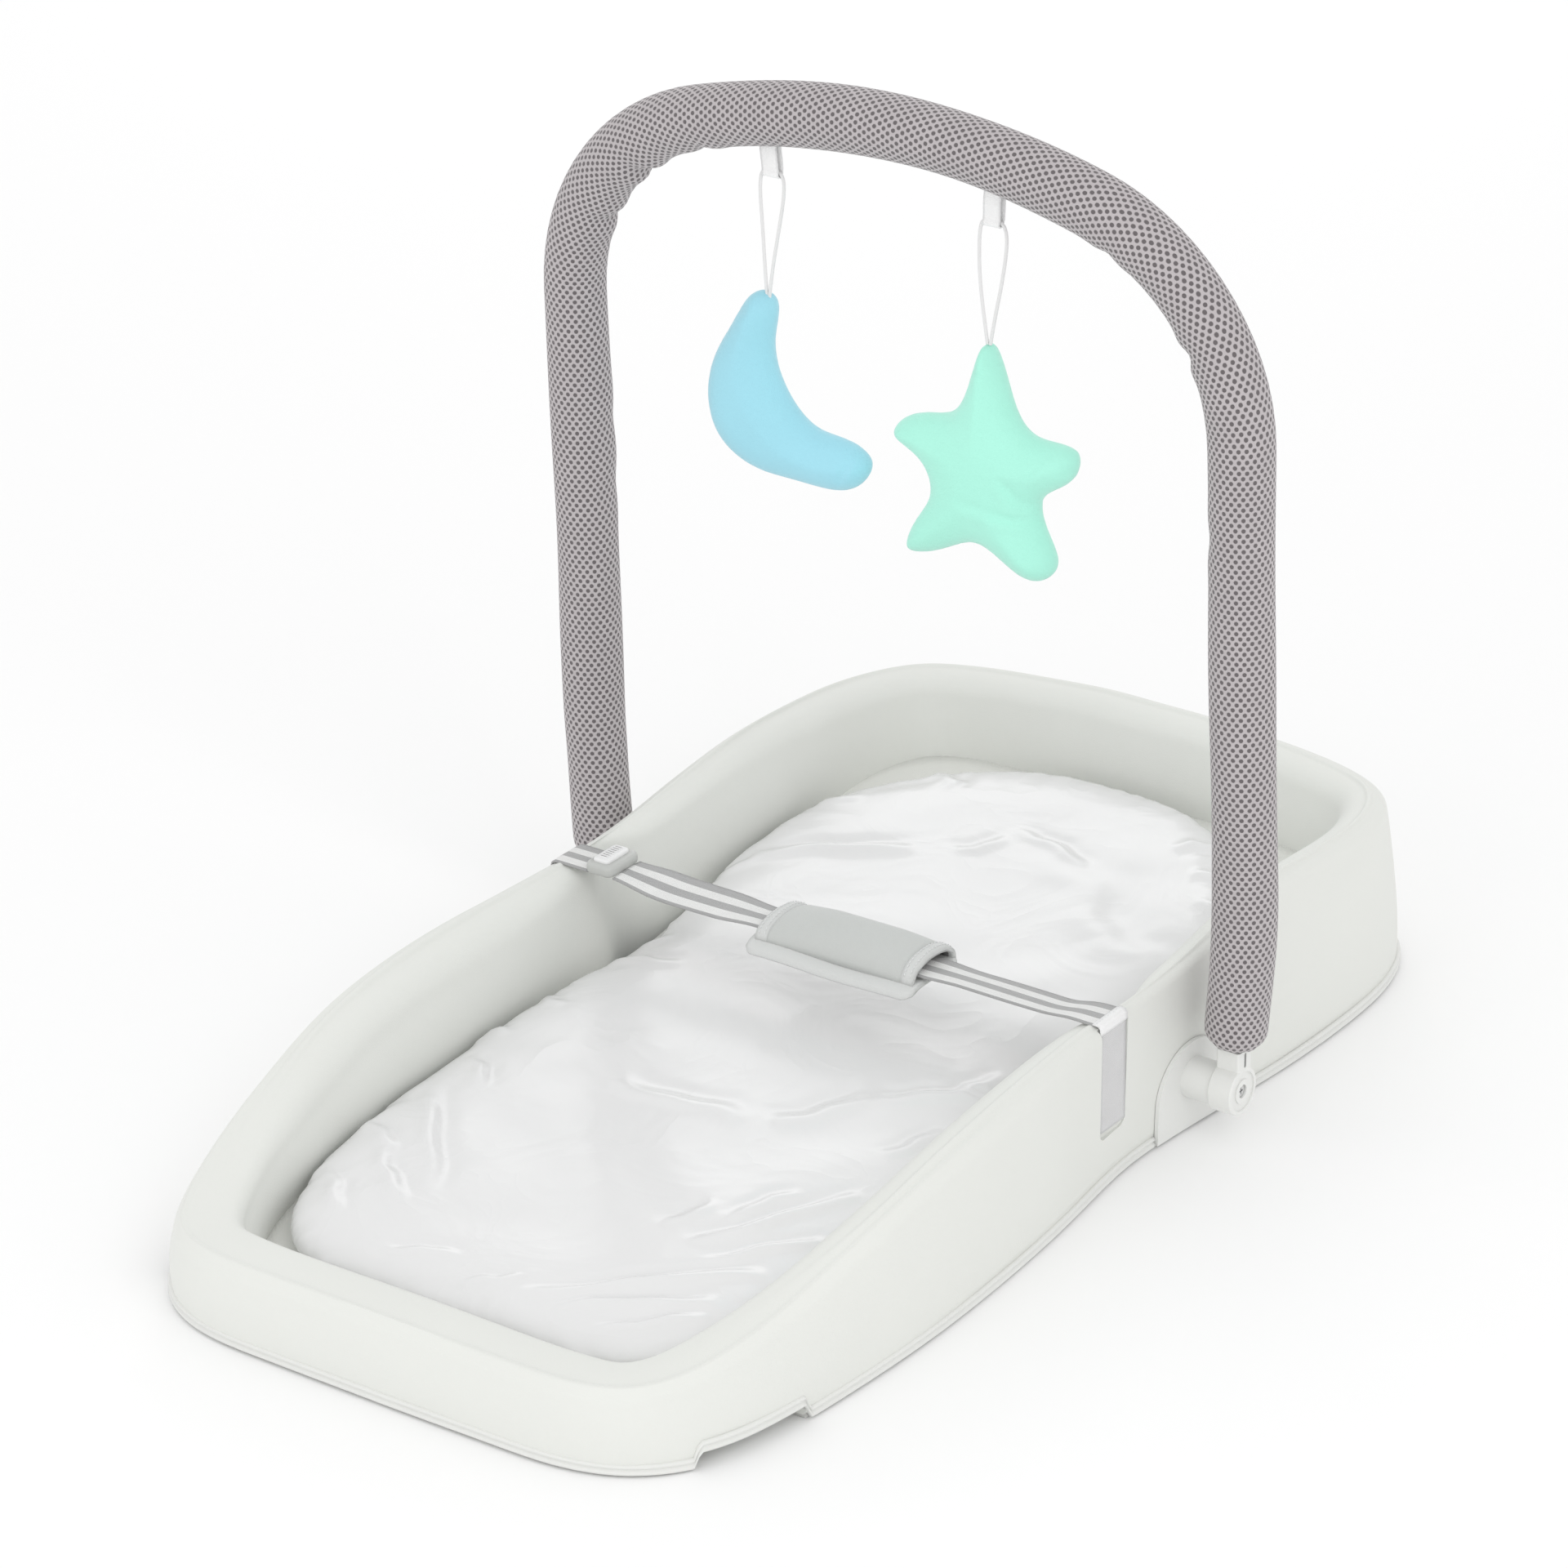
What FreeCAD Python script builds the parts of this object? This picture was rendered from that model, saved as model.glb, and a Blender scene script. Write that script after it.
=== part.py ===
import FreeCAD, Part
import math
import os

from FreeCAD import Vector

# Infant bouncer seat: a low padded tub with a mattress, a waist strap and a swinging toy bar.
# Frame: X across the seat, Y from the foot end (-) to the head end (+), Z up from the floor.
# All lengths are in millimetres. Half outlines run from the foot to the head at x >= 0.

# --- driving dimensions: tub ---------------------------------------------------------------
HEM = [(0, -381), (38, -381), (76, -380.6), (112, -378.5), (146, -366.5), (173, -337), (186, -294),
       (192.5, -240), (196, -181), (195, -110), (188, -20), (182, 40), (185, 100), (193, 180), (195.5, 255),
       (190, 308), (170, 350), (137, 371), (100, 378.5), (68, 380.6), (34, 381), (0, 381)]
CREST = [(0, -380), (46, -380), (88, -379.6), (119, -377), (146, -366), (166, -340), (179, -303),
         (188, -255), (195, -188), (195, -108), (188, -20), (184.5, 40), (186, 100), (187, 180), (188, 250),
         (184.5, 300), (167, 341), (138, 359.5), (102, 366), (68, 368), (34, 368.3), (0, 368.3)]
RIM_WIDTH = [38, 38, 38, 38, 37.5, 36.5, 35, 33.5, 33, 33, 27, 19, 20, 24, 27, 28, 28, 28, 28, 28, 28, 28]
FLOOR = [(0, -337.5), (35, -337.5), (68, -337), (97, -335), (119, -327.5), (136, -309), (147, -282),
         (156, -240), (162, -186), (163, -109), (157, -20), (147, 40), (152, 100), (161, 180), (160, 247),
         (154, 289), (141, 315), (120, 329), (93, 334), (62, 335.5), (31, 336), (0, 336)]
RIM_PROFILE = [(-400, 47), (-368, 47), (-322, 52), (-270, 67), (-188, 86), (-108, 95), (-20, 98), (40, 98),
               (100, 102), (180, 111), (250, 109), (319, 105), (400, 109)]
CREST_Z = 100.0
TOP_Z = 130.0
FLOOR_EDGE_Z = 40.0
SKIN = 1.2
GAP = 0.3
BOARD_THICK = 5.0
FOAM_BASE_Z = BOARD_THICK + GAP
FOAM_FOOT_Y = -255.0
FOAM_HEAD_Y = 255.0
NOTCH_Y = (-341.0, -273.0)
NOTCH_HEIGHT = 9.0
NOTCH_X = 148.0
BINDING_THICK = 2.4
BINDING_Z = (1.5, 7.0)

# --- mattress ------------------------------------------------------------------------------
MATTRESS = [(0, -332), (31, -332), (60, -331.6), (86, -328), (109, -316), (131, -292), (147, -256),
            (158, -190), (159, -108), (152, -20), (143, 30), (149, 90), (157, 160), (153, 210), (139, 245),
            (116, 278), (85, 304), (50, 321), (25, 325.5), (0, 326.5)]
SLOPE = 44.0 / 680.0
MATTRESS_BASE_Z = 13.0
MATTRESS_THICK = 22.0
VINYL = 0.8
LINING = 0.8

# --- frame hoops, hubs and pivot -----------------------------------------------------------
HOOP_R = 5.0
FOOT_HOOP_Z = 28.0
HEAD_HOOP_Z = 46.0
FOOT_HOOP = [(170, 78), (171, -20), (177, -140), (175, -272), (152, -336), (98, -361)]
HEAD_HOOP = [(172, 119), (176, 190), (174, 262), (158, 322), (112, 351), (60, 355)]
PIVOT_Y = 98.5
PIVOT_Z = 32.0
BLOCK_X = (163.0, 181.4)
BLOCK_Y = (70.0, 127.0)
BLOCK_Z = (10.0, 70.0)
PLATE_Y = (67.0, 130.0)
PLATE_TOP_Z = 54.0
PLATE_THICK = 2.4
BOSS_R = 12.0
BOSS_END_X = 204.7
KNUCKLE_X = (205.0, 219.8)
KNUCKLE_R = 14.0
SCREW_R = 2.2
SCREW_HEAD_R = 3.4
RUNNING_CLEARANCE = 0.05

# --- toy bar -------------------------------------------------------------------------------
ARCH_Y = 102.0
ARCH_Z = 41.0
ARCH_TILT = math.radians(2.05)
LEG_FOOT = (212.4, 17.0)
LEG_KNEE = (218.4, 84.0)
LEG_TOP = (215.8, 371.5)
CORNER_R = 124.0
CORNER_TURN = math.radians(74.0)
TUBE_R = 8.0
TUBE_BORE_R = 6.5
FOAM_R = 16.5
SLEEVE_R = 18.0
STEM = (14.6, 13.5)
SLOT_HEIGHT = 9.0
SLOT_WIDTH = 2.2
SLOT_DEPTH = 6.0
SLOT_Z = 50.5
BUTTON_TRAVEL = 2.0

# --- strap, buckle and belly pad -----------------------------------------------------------
STRAP_Y = 22.0
STRAP_WIDTH = 26.0
STRAP_THICK = 1.5
STRAP_SPAN_Z = 96.6
OUTER_X = 186.0
RIM_TOP_Z = 98.0
RIM_INNER_X = 165.0
WINDOW_DEPTH = 4.0
WINDOW_Z = (30.0, 112.0)
WINDOW_HALF = 13.8
BUCKLE_X = (-164.0, -141.0)
BUCKLE_WIDTH = 33.0
BUCKLE_THICK = 8.0
BUCKLE_PANEL = (13.0, 26.0)
PAD_X = (-43.0, 68.0)
PAD_Y = (-6.0, 50.0)
PAD_TOP_Z = 108.0
PAD_TUNNEL = (30.0, 6.0)

# --- hanging toys --------------------------------------------------------------------------
TOY_X = (-78.0, 64.0)
TOY_NAMES = ("moon", "star")
TAB_WIDTH = 11.0
TAB_FOLD_Z = 507.5
TAB_FOLD_R = 1.7
TAB_THICK = 1.0
CORD_R = 1.0
TOY_THICK = 26.0
MOON = [(-94, 435), (-84, 431), (-81, 410), (-74, 384), (-54, 366), (-24, 359), (-16, 350), (-21, 340),
        (-60, 329), (-95, 331), (-118, 346), (-125, 370), (-120, 396), (-106, 420)]
STAR = [(61, 435), (72, 420), (90, 392), (117, 386), (117, 377), (95, 356), (96, 341), (103, 316),
        (97, 311), (60, 323), (22, 310), (9, 312), (10, 321), (21, 349), (14, 366), (1, 380),
        (6, 385), (36, 395), (51, 416)]
TOY_CORDS = {
    "moon": [(-82.6, 435.4), (-83.6, 450), (-84.8, 474), (-86.4, 497), (-85.0, 507.8), (-78, 508.4),
             (-71.0, 507.8), (-70.0, 497), (-74.4, 474), (-79.2, 450), (-81.0, 435.4)],
    "star": [(60.6, 438.4), (58.2, 454), (55.4, 476), (55.2, 498), (57.0, 507.8), (64, 508.4),
             (71.0, 507.8), (73.2, 498), (70.0, 476), (65.2, 454), (62.4, 438.4)],
}


def save(shape, node):
    shape.exportStep("parts/" + node + ".step")


def normals(points):
    """Outward unit normals of a half outline whose other half is its mirror image."""
    first, last = points[1], points[-2]
    padded = [(-first[0], first[1])] + [(p[0], p[1]) for p in points] + [(-last[0], last[1])]
    found = []
    for before, after in zip(padded, padded[2:]):
        dx, dy = after[0] - before[0], after[1] - before[1]
        size = math.hypot(dx, dy)
        found.append((dy / size, -dx / size))
    return found


def offset(points, distance):
    """Move each point of a half outline outwards; distance is one number or one per point."""
    steps = distance if isinstance(distance, list) else [distance] * len(points)
    return [(p[0] + n[0] * d, p[1] + n[1] * d) for p, n, d in zip(points, normals(points), steps)]


def full_loop(points):
    return points + [(-p[0], p[1]) for p in reversed(points[1:-1])]


def outline(points, z, spacing=None):
    """Closed smooth wire through a half outline and its mirror image, at height z.

    spacing is the half outline whose point distances space the curve; loft partners share one.
    """
    spaced = full_loop(spacing or points)
    steps = [math.dist(a, b) for a, b in zip(spaced, spaced[1:] + spaced[:1])]
    knots = [sum(steps[:i]) for i in range(len(steps) + 1)]
    curve = Part.BSplineCurve()
    loop = [Vector(x, y, z) for x, y in full_loop(points)]
    curve.interpolate(Points=loop, PeriodicFlag=True, Parameters=knots)
    return Part.Wire([curve.toShape()])


def box(x, y, z):
    return Part.makeBox(x[1] - x[0], y[1] - y[0], z[1] - z[0], Vector(x[0], y[0], z[0]))


def rod(radius, start, end):
    """Round bar between two points."""
    direction = Vector(*end) - Vector(*start)
    return Part.makeCylinder(radius, direction.Length, Vector(*start), direction)


def mirror(shape):
    return shape.mirror(Vector(0, 0, 0), Vector(1, 0, 0))


def prism(points, z):
    """Upright slab inside a half outline."""
    face = Part.Face(outline(points, z[0]))
    return face.extrude(Vector(0, 0, z[1] - z[0]))


def side_prism(yz_points, half_width):
    """Slab across the seat whose side view is the given polygon."""
    wire = Part.makePolygon([Vector(-half_width, y, z) for y, z in yz_points + yz_points[:1]])
    return Part.Face(wire).extrude(Vector(2 * half_width, 0, 0))


# --- tub shell -----------------------------------------------------------------------------

def tub_outer(inset):
    hem = offset(HEM, -inset)
    crest = offset(CREST, -inset)
    levels = [(hem, 0), (crest, CREST_Z), (crest, TOP_Z)]
    return Part.makeLoft([outline(points, z, HEM) for points, z in levels], True, True)


def tub_cavity(inset):
    floor = offset(FLOOR, inset)
    rim = offset(offset(CREST, [-w for w in RIM_WIDTH]), inset)
    levels = [(floor, -5), (floor, FLOOR_EDGE_Z), (rim, CREST_Z), (rim, TOP_Z + 5)]
    return Part.makeLoft([outline(points, z, FLOOR) for points, z in levels], True, True)


def under_rim(inset):
    """Everything below the rim, whose height changes from the foot to the head."""
    curve = Part.BSplineCurve()
    curve.interpolate([Vector(-250, y, z - inset) for y, z in RIM_PROFILE])
    start, end = curve.StartPoint, curve.EndPoint
    corners = [end, Vector(-250, end.y, -20), Vector(-250, start.y, -20), start]
    edges = [curve.toShape()] + [Part.makeLine(a, b) for a, b in zip(corners, corners[1:])]
    return Part.Face(Part.Wire(edges)).extrude(Vector(500, 0, 0))


def ring(inset):
    return tub_outer(inset).common(under_rim(inset)).cut(tub_cavity(inset))


def notch_cutters(clearance=0.0):
    y = (NOTCH_Y[0] - clearance, NOTCH_Y[1] + clearance)
    right = box((NOTCH_X - clearance, 230), y, (-1, NOTCH_HEIGHT + clearance))
    return right.fuse(mirror(right))


def window_cutter(depth, margin):
    """Recess in the outer wall that the strap runs down in."""
    half = WINDOW_HALF + margin
    right = box((OUTER_X - depth, 200), (STRAP_Y - half, STRAP_Y + half), (WINDOW_Z[0] - margin, WINDOW_Z[1]))
    return right.fuse(mirror(right))


def boss_holes(clearance):
    centre = (PIVOT_Y, PIVOT_Z)
    right = rod(BOSS_R + clearance, (BLOCK_X[0], *centre), (230, *centre))
    return right.fuse(mirror(right))


def hub_blocks():
    right = box(BLOCK_X, BLOCK_Y, BLOCK_Z)
    right = right.makeFillet(3.0, [e for e in right.Edges if abs(e.tangentAt(e.FirstParameter).x) > 0.9])
    bore = rod(SCREW_R, (BLOCK_X[0] + 4, PIVOT_Y, PIVOT_Z), (BLOCK_X[1] + 1, PIVOT_Y, PIVOT_Z))
    right = right.cut(bore)
    return right


def tube_path(points):
    """Straight runs through the points, joined by tangent arcs as large as their two runs allow."""
    points = [Vector(*p) for p in points]
    edges, radii, last = [], [], points[0]
    for before, corner, after in zip(points, points[1:], points[2:]):
        back, ahead = before - corner, after - corner
        reach = 0.45 * min(back.Length, ahead.Length)
        back.normalize()
        ahead.normalize()
        start, end = corner + back * reach, corner + ahead * reach
        half = (math.pi - back.getAngle(ahead)) / 2
        radius = reach / math.tan(half)
        middle = corner + (back + ahead).normalize() * (radius / math.cos(half) - radius)
        edges.append(Part.LineSegment(last, start).toShape())
        edges.append(Part.Arc(start, middle, end).toShape())
        radii.append(radius)
        last = end
    edges.append(Part.LineSegment(last, points[-1]).toShape())
    return Part.Wire(edges), radii


def swept(path, radius):
    """Round bar along a path, checked against its section times its length."""
    edge = path.Edges[0]
    start = edge.valueAt(edge.FirstParameter)
    direction = edge.tangentAt(edge.FirstParameter)
    circle = Part.Wire([Part.makeCircle(radius, start, direction)])
    solid = path.makePipeShell([circle], True, False)
    expected = math.pi * radius ** 2 * path.Length
    if abs(solid.Volume - expected) > 0.01 * expected:
        raise ValueError("a swept tube has the wrong volume")
    return solid


def hoop_path(half, z):
    points = [(x, y, z) for x, y in half]
    return tube_path(points + [(-x, y, z) for x, y in reversed(half)])[0]


def tub_floor():
    board = tub_outer(SKIN + GAP).common(box((-250, 250), (-400, 400), (0, BOARD_THICK)))
    board = board.cut(notch_cutters(SKIN + GAP))
    save(board, "base_board")
    below = sloped_slab(FOAM_BASE_Z - 60, MATTRESS_BASE_Z - LINING)
    wedge = prism(offset(FLOOR, -GAP), (FOAM_BASE_Z, 90)).common(below)
    save(wedge, "incline_wedge")
    lining = prism(offset(FLOOR, -GAP), (FOAM_BASE_Z, 90))
    save(lining.common(sloped_slab(MATTRESS_BASE_Z - LINING, MATTRESS_BASE_Z)), "floor_lining")


def sloped_slab(low, high):
    """Slab between two planes that rise towards the head; heights are taken at y = -340."""
    def height(z, y):
        return z + SLOPE * (y + 340)
    ends = (-400.0, 400.0)
    low_edge = [(y, height(low, y)) for y in ends]
    high_edge = [(y, height(high, y)) for y in reversed(ends)]
    return side_prism(low_edge + high_edge, 250)


def tub_walls():
    foot_path = hoop_path(FOOT_HOOP, FOOT_HOOP_Z)
    head_path = hoop_path(HEAD_HOOP, HEAD_HOOP_Z)
    hoops = {"frame_hoop_foot": swept(foot_path, HOOP_R), "frame_hoop_head": swept(head_path, HOOP_R)}
    blocks = hub_blocks()
    sockets = hoops["frame_hoop_foot"].fuse(hoops["frame_hoop_head"])
    pocket = box([BLOCK_X[0] - GAP, BLOCK_X[1] + 8], [BLOCK_Y[0] - GAP, BLOCK_Y[1] + GAP],
                 [BLOCK_Z[0] - GAP, BLOCK_Z[1] + GAP])
    foam = ring(SKIN + GAP).common(box((-250, 250), (-400, 400), (FOAM_BASE_Z, 140)))
    foam = foam.cut(pocket).cut(mirror(pocket)).cut(sockets)
    foam = foam.cut(notch_cutters(SKIN + 2 * GAP)).cut(window_cutter(WINDOW_DEPTH + 3, SKIN + GAP))
    zones = {
        "bolster_foot": ((-250, 250), (-400, FOAM_FOOT_Y)),
        "bolster_head": ((-250, 250), (FOAM_HEAD_Y, 400)),
        "bolster_left": ((-250, 0), (FOAM_FOOT_Y, FOAM_HEAD_Y)),
        "bolster_right": ((0, 250), (FOAM_FOOT_Y, FOAM_HEAD_Y)),
    }
    for node, (x, y) in zones.items():
        save(foam.common(box(x, y, (0, 140))), node)
    for node, hoop in hoops.items():
        save(hoop, node)
    save(blocks.cut(sockets), "hub_block_right")
    save(mirror(blocks).cut(sockets), "hub_block_left")

    cover = ring(0).cut(ring(SKIN)).common(box((-250, 250), (-400, 400), (1, 140)))
    cover = cover.cut(tub_outer(SKIN).common(box((-250, 250), (-400, 400), (-1, BOARD_THICK))))
    cover = cover.cut(boss_holes(GAP)).cut(notch_cutters()).cut(window_cutter(WINDOW_DEPTH + 3, 0))
    save(cover, "tub_cover")

    wider = offset(HEM, BINDING_THICK)
    binding = prism(wider, BINDING_Z).cut(tub_outer(-0.05)).cut(notch_cutters())
    plates = plate_zone()
    save(binding.cut(plates).cut(mirror(plates)), "hem_binding")


def plate_zone():
    """Side view of the hub plate, a flap with a round top, as a prism out of the wall."""
    y_mid = (PLATE_Y[0] + PLATE_Y[1]) / 2
    half = (PLATE_Y[1] - PLATE_Y[0]) / 2
    shoulder = PLATE_TOP_Z - half
    body = box((165, 200), PLATE_Y, (1.5, shoulder))
    top = rod(half, (165, y_mid, shoulder), (200, y_mid, shoulder))
    return body.fuse(top.common(box((165, 200), PLATE_Y, (1.5, 90)))).removeSplitter()


def hubs():
    shell = tub_outer(-GAP - PLATE_THICK).cut(tub_outer(-GAP))
    plate = shell.common(plate_zone()).cut(boss_holes(0))
    centre = (PIVOT_Y, PIVOT_Z)
    boss = rod(BOSS_R, (BLOCK_X[1], *centre), (BOSS_END_X, *centre))
    boss = boss.cut(rod(SCREW_R, (BLOCK_X[1] - 1, *centre), (BOSS_END_X + 1, *centre)))
    screw = rod(SCREW_R, (BLOCK_X[0] + 4, *centre), (216.3, *centre))
    head = rod(SCREW_HEAD_R, (216.3, *centre), (218.4, *centre))
    recess = cross_recess(centre)
    screw = screw.fuse(head).cut(recess).removeSplitter()
    for side, turn in (("right", lambda s: s), ("left", mirror)):
        save(turn(plate), "hub_plate_" + side)
        save(turn(boss), "hub_boss_" + side)
        save(turn(screw), "pivot_screw_" + side)


def cross_recess(centre):
    arms = [box((217.0, 219.0), (centre[0] - a, centre[0] + a), (centre[1] - b, centre[1] + b))
            for a, b in ((2.0, 0.45), (0.45, 2.0))]
    return arms[0].fuse(arms[1])


# --- toy bar -------------------------------------------------------------------------------

def arch_point(x, h):
    return Vector(x, ARCH_Y - h * math.sin(ARCH_TILT), ARCH_Z + h * math.cos(ARCH_TILT))


def arch_path():
    """Centreline of the toy bar: leg, large corner arc and a flatter crown, then the mirror image."""
    lean = math.atan2(LEG_KNEE[0] - LEG_TOP[0], LEG_TOP[1] - LEG_KNEE[1])

    def on_corner(angle):
        x = LEG_TOP[0] - CORNER_R * (math.cos(lean) - math.cos(angle))
        return x, LEG_TOP[1] + CORNER_R * (math.sin(angle) - math.sin(lean))
    shoulder = on_corner(CORNER_TURN)
    crown_r = shoulder[0] / math.cos(CORNER_TURN)
    crown = (0.0, shoulder[1] + crown_r * (1 - math.sin(CORNER_TURN)))
    corner_mid = on_corner((lean + CORNER_TURN) / 2)
    knee_in, knee_mid, knee_out = knee_arc()
    right = [
        Part.LineSegment(arch_point(*LEG_FOOT), arch_point(*knee_in)),
        Part.Arc(arch_point(*knee_in), arch_point(*knee_mid), arch_point(*knee_out)),
        Part.LineSegment(arch_point(*knee_out), arch_point(*LEG_TOP)),
        Part.Arc(arch_point(*LEG_TOP), arch_point(*corner_mid), arch_point(*shoulder)),
    ]
    edges = [piece.toShape() for piece in right]
    top = Part.Arc(arch_point(*shoulder), arch_point(*crown), arch_point(-shoulder[0], shoulder[1])).toShape()
    return Part.Wire(edges + [top] + [mirror(e) for e in reversed(edges)]), crown


def knee_arc():
    """Slight bend where the leg turns in towards the hub."""
    foot, knee, top = (Vector(p[0], p[1], 0) for p in (LEG_FOOT, LEG_KNEE, LEG_TOP))
    back, ahead = (foot - knee).normalize(), (top - knee).normalize()
    reach = 40.0
    half = (math.pi - back.getAngle(ahead)) / 2
    radius = reach / math.tan(half)
    middle = knee + (back + ahead).normalize() * (radius / math.cos(half) - radius)
    ends = knee + back * reach, knee + ahead * reach
    return (ends[0].x, ends[0].y), (middle.x, middle.y), (ends[1].x, ends[1].y)


def knuckle():
    centre = (PIVOT_Y, PIVOT_Z)
    disc = rod(KNUCKLE_R, (KNUCKLE_X[0], *centre), (KNUCKLE_X[1], *centre))
    disc = disc.makeFillet(1.0, [e for e in disc.Edges if e.Closed])
    foot = arch_point(*LEG_FOOT)
    x_mid = (KNUCKLE_X[0] + KNUCKLE_X[1]) / 2
    stem = box((x_mid - STEM[0] / 2, x_mid + STEM[0] / 2), (PIVOT_Y - 5, PIVOT_Y - 5 + STEM[1]),
               (PIVOT_Z + 6, foot.z - 1.4))
    stem = stem.makeFillet(1.5, [e for e in stem.Edges if abs(e.tangentAt(e.FirstParameter).z) > 0.9])
    way = (arch_point(*LEG_KNEE) - foot).normalize()
    plug = Part.makeCylinder(TUBE_BORE_R, 26, foot - way * 4, way)
    body = disc.fuse(stem).fuse(plug).removeSplitter()
    body = body.cut(rod(11.5, (KNUCKLE_X[1] - 1.0, *centre), (KNUCKLE_X[1] + 1, *centre)))
    body = body.fuse(rod(7.0, (KNUCKLE_X[1] - 1.2, *centre), (KNUCKLE_X[1] - 0.2, *centre)))
    body = body.cut(rod(SCREW_HEAD_R + 0.5, (KNUCKLE_X[1] - 4.0, *centre), (KNUCKLE_X[1] + 1, *centre)))
    body = body.cut(rod(SCREW_R + RUNNING_CLEARANCE, (KNUCKLE_X[0] - 1, *centre), (KNUCKLE_X[1], *centre)))
    return body.cut(obround(SLOT_HEIGHT, SLOT_WIDTH, (KNUCKLE_X[1] - SLOT_DEPTH, KNUCKLE_X[1] + 1)))


def obround(height, width, x):
    """Upright slot shape on the outer face of the knuckle's stem."""
    y = PIVOT_Y - 5 + STEM[1] / 2
    half = (height - width) / 2
    block = box(x, (y - width / 2, y + width / 2), (SLOT_Z - half, SLOT_Z + half))
    ends = [rod(width / 2, (x[0], y, SLOT_Z + s * half), (x[1], y, SLOT_Z + s * half)) for s in (-1, 1)]
    return block.fuse(ends[0]).fuse(ends[1]).removeSplitter()


def toy_bar():
    path = arch_path()[0]
    bars = {radius: swept(path, radius) for radius in (TUBE_BORE_R, TUBE_R, FOAM_R, SLEEVE_R)}
    save(bars[TUBE_R].cut(bars[TUBE_BORE_R]), "toy_bar_tube")
    save(bars[FOAM_R].cut(bars[TUBE_R]), "toy_bar_foam")
    save(bars[SLEEVE_R].cut(bars[FOAM_R]), "toy_bar_sleeve")
    right = knuckle()
    button = obround(SLOT_HEIGHT - 0.4, SLOT_WIDTH - 0.4,
                     (KNUCKLE_X[1] - SLOT_DEPTH + BUTTON_TRAVEL + 0.4, KNUCKLE_X[1] - 0.4))
    for side, turn in (("right", lambda s: s), ("left", mirror)):
        save(turn(right), "toy_bar_knuckle_" + side)
        save(turn(button), "release_button_" + side)
    for name, x in zip(TOY_NAMES, TOY_X):
        save(toy_tab(x).cut(bars[SLEEVE_R]), "toy_tab_" + name)


# --- hanging toys --------------------------------------------------------------------------

def toy_plane_y(z):
    return ARCH_Y - (z - ARCH_Z) * math.tan(ARCH_TILT)


def toy_tab(x):
    """Folded ribbon under the bar; the toy's cord runs through its fold."""
    y = toy_plane_y(TAB_FOLD_Z)
    span = (x - TAB_WIDTH / 2, x + TAB_WIDTH / 2)
    outer = TAB_FOLD_R + TAB_THICK
    fold = rod(outer, (span[0], y, TAB_FOLD_Z), (span[1], y, TAB_FOLD_Z))
    sides = box(span, (y - outer, y + outer), (TAB_FOLD_Z, TAB_FOLD_Z + 30))
    hollow = rod(TAB_FOLD_R, (span[0] - 1, y, TAB_FOLD_Z), (span[1] + 1, y, TAB_FOLD_Z))
    hollow = hollow.fuse(box((span[0] - 1, span[1] + 1), (y - TAB_FOLD_R, y + TAB_FOLD_R),
                             (TAB_FOLD_Z, TAB_FOLD_Z + 31)))
    limit = box(span, (y - 6, y + 6), (TAB_FOLD_Z - 6, TAB_FOLD_Z + 18))
    return fold.fuse(sides).cut(hollow).common(limit).removeSplitter()


def plush(points, y):
    curve = Part.BSplineCurve()
    curve.interpolate(Points=[Vector(x, y - TOY_THICK / 2, z) for x, z in points], PeriodicFlag=True)
    return Part.Face(Part.Wire([curve.toShape()])).extrude(Vector(0, TOY_THICK, 0))


def hanging_toys():
    y = toy_plane_y(TAB_FOLD_Z)
    for name, shape in (("moon", MOON), ("star", STAR)):
        save(plush(shape, y), "plush_" + name)
        path, radii = tube_path([(x, y, z) for x, z in TOY_CORDS[name]])
        save(swept(path, CORD_R), "toy_cord_" + name)
        print(name, "cord length", round(path.Length, 1), "radii", [round(r, 1) for r in radii])


# --- strap, buckle and belly pad -----------------------------------------------------------

def webbing(route):
    """Flat webbing of one thickness whose route, seen from the foot, is a list of x, z points."""
    half = STRAP_THICK / 2
    route = [Vector(x, 0, z) for x, z in route]
    runs = [(b - a).normalize() for a, b in zip(route, route[1:])]
    ahead, behind = runs + runs[-1:], runs[:1] + runs
    above, below = [], []
    for point, run_in, run_out in zip(route, behind, ahead):
        across = Vector(-run_in.z - run_out.z, 0, run_in.x + run_out.x).normalize()
        reach = half / across.dot(Vector(-run_in.z, 0, run_in.x))
        above.append(point + across * reach)
        below.append(point - across * reach)
    corners = above + below[::-1]
    wire = Part.makePolygon(corners + corners[:1])
    length = sum((b - a).Length for a, b in zip(route, route[1:]))
    strip = Part.Face(wire).extrude(Vector(0, STRAP_WIDTH, 0))
    strip.translate(Vector(0, STRAP_Y - STRAP_WIDTH / 2, 0))
    return strip, length


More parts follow.
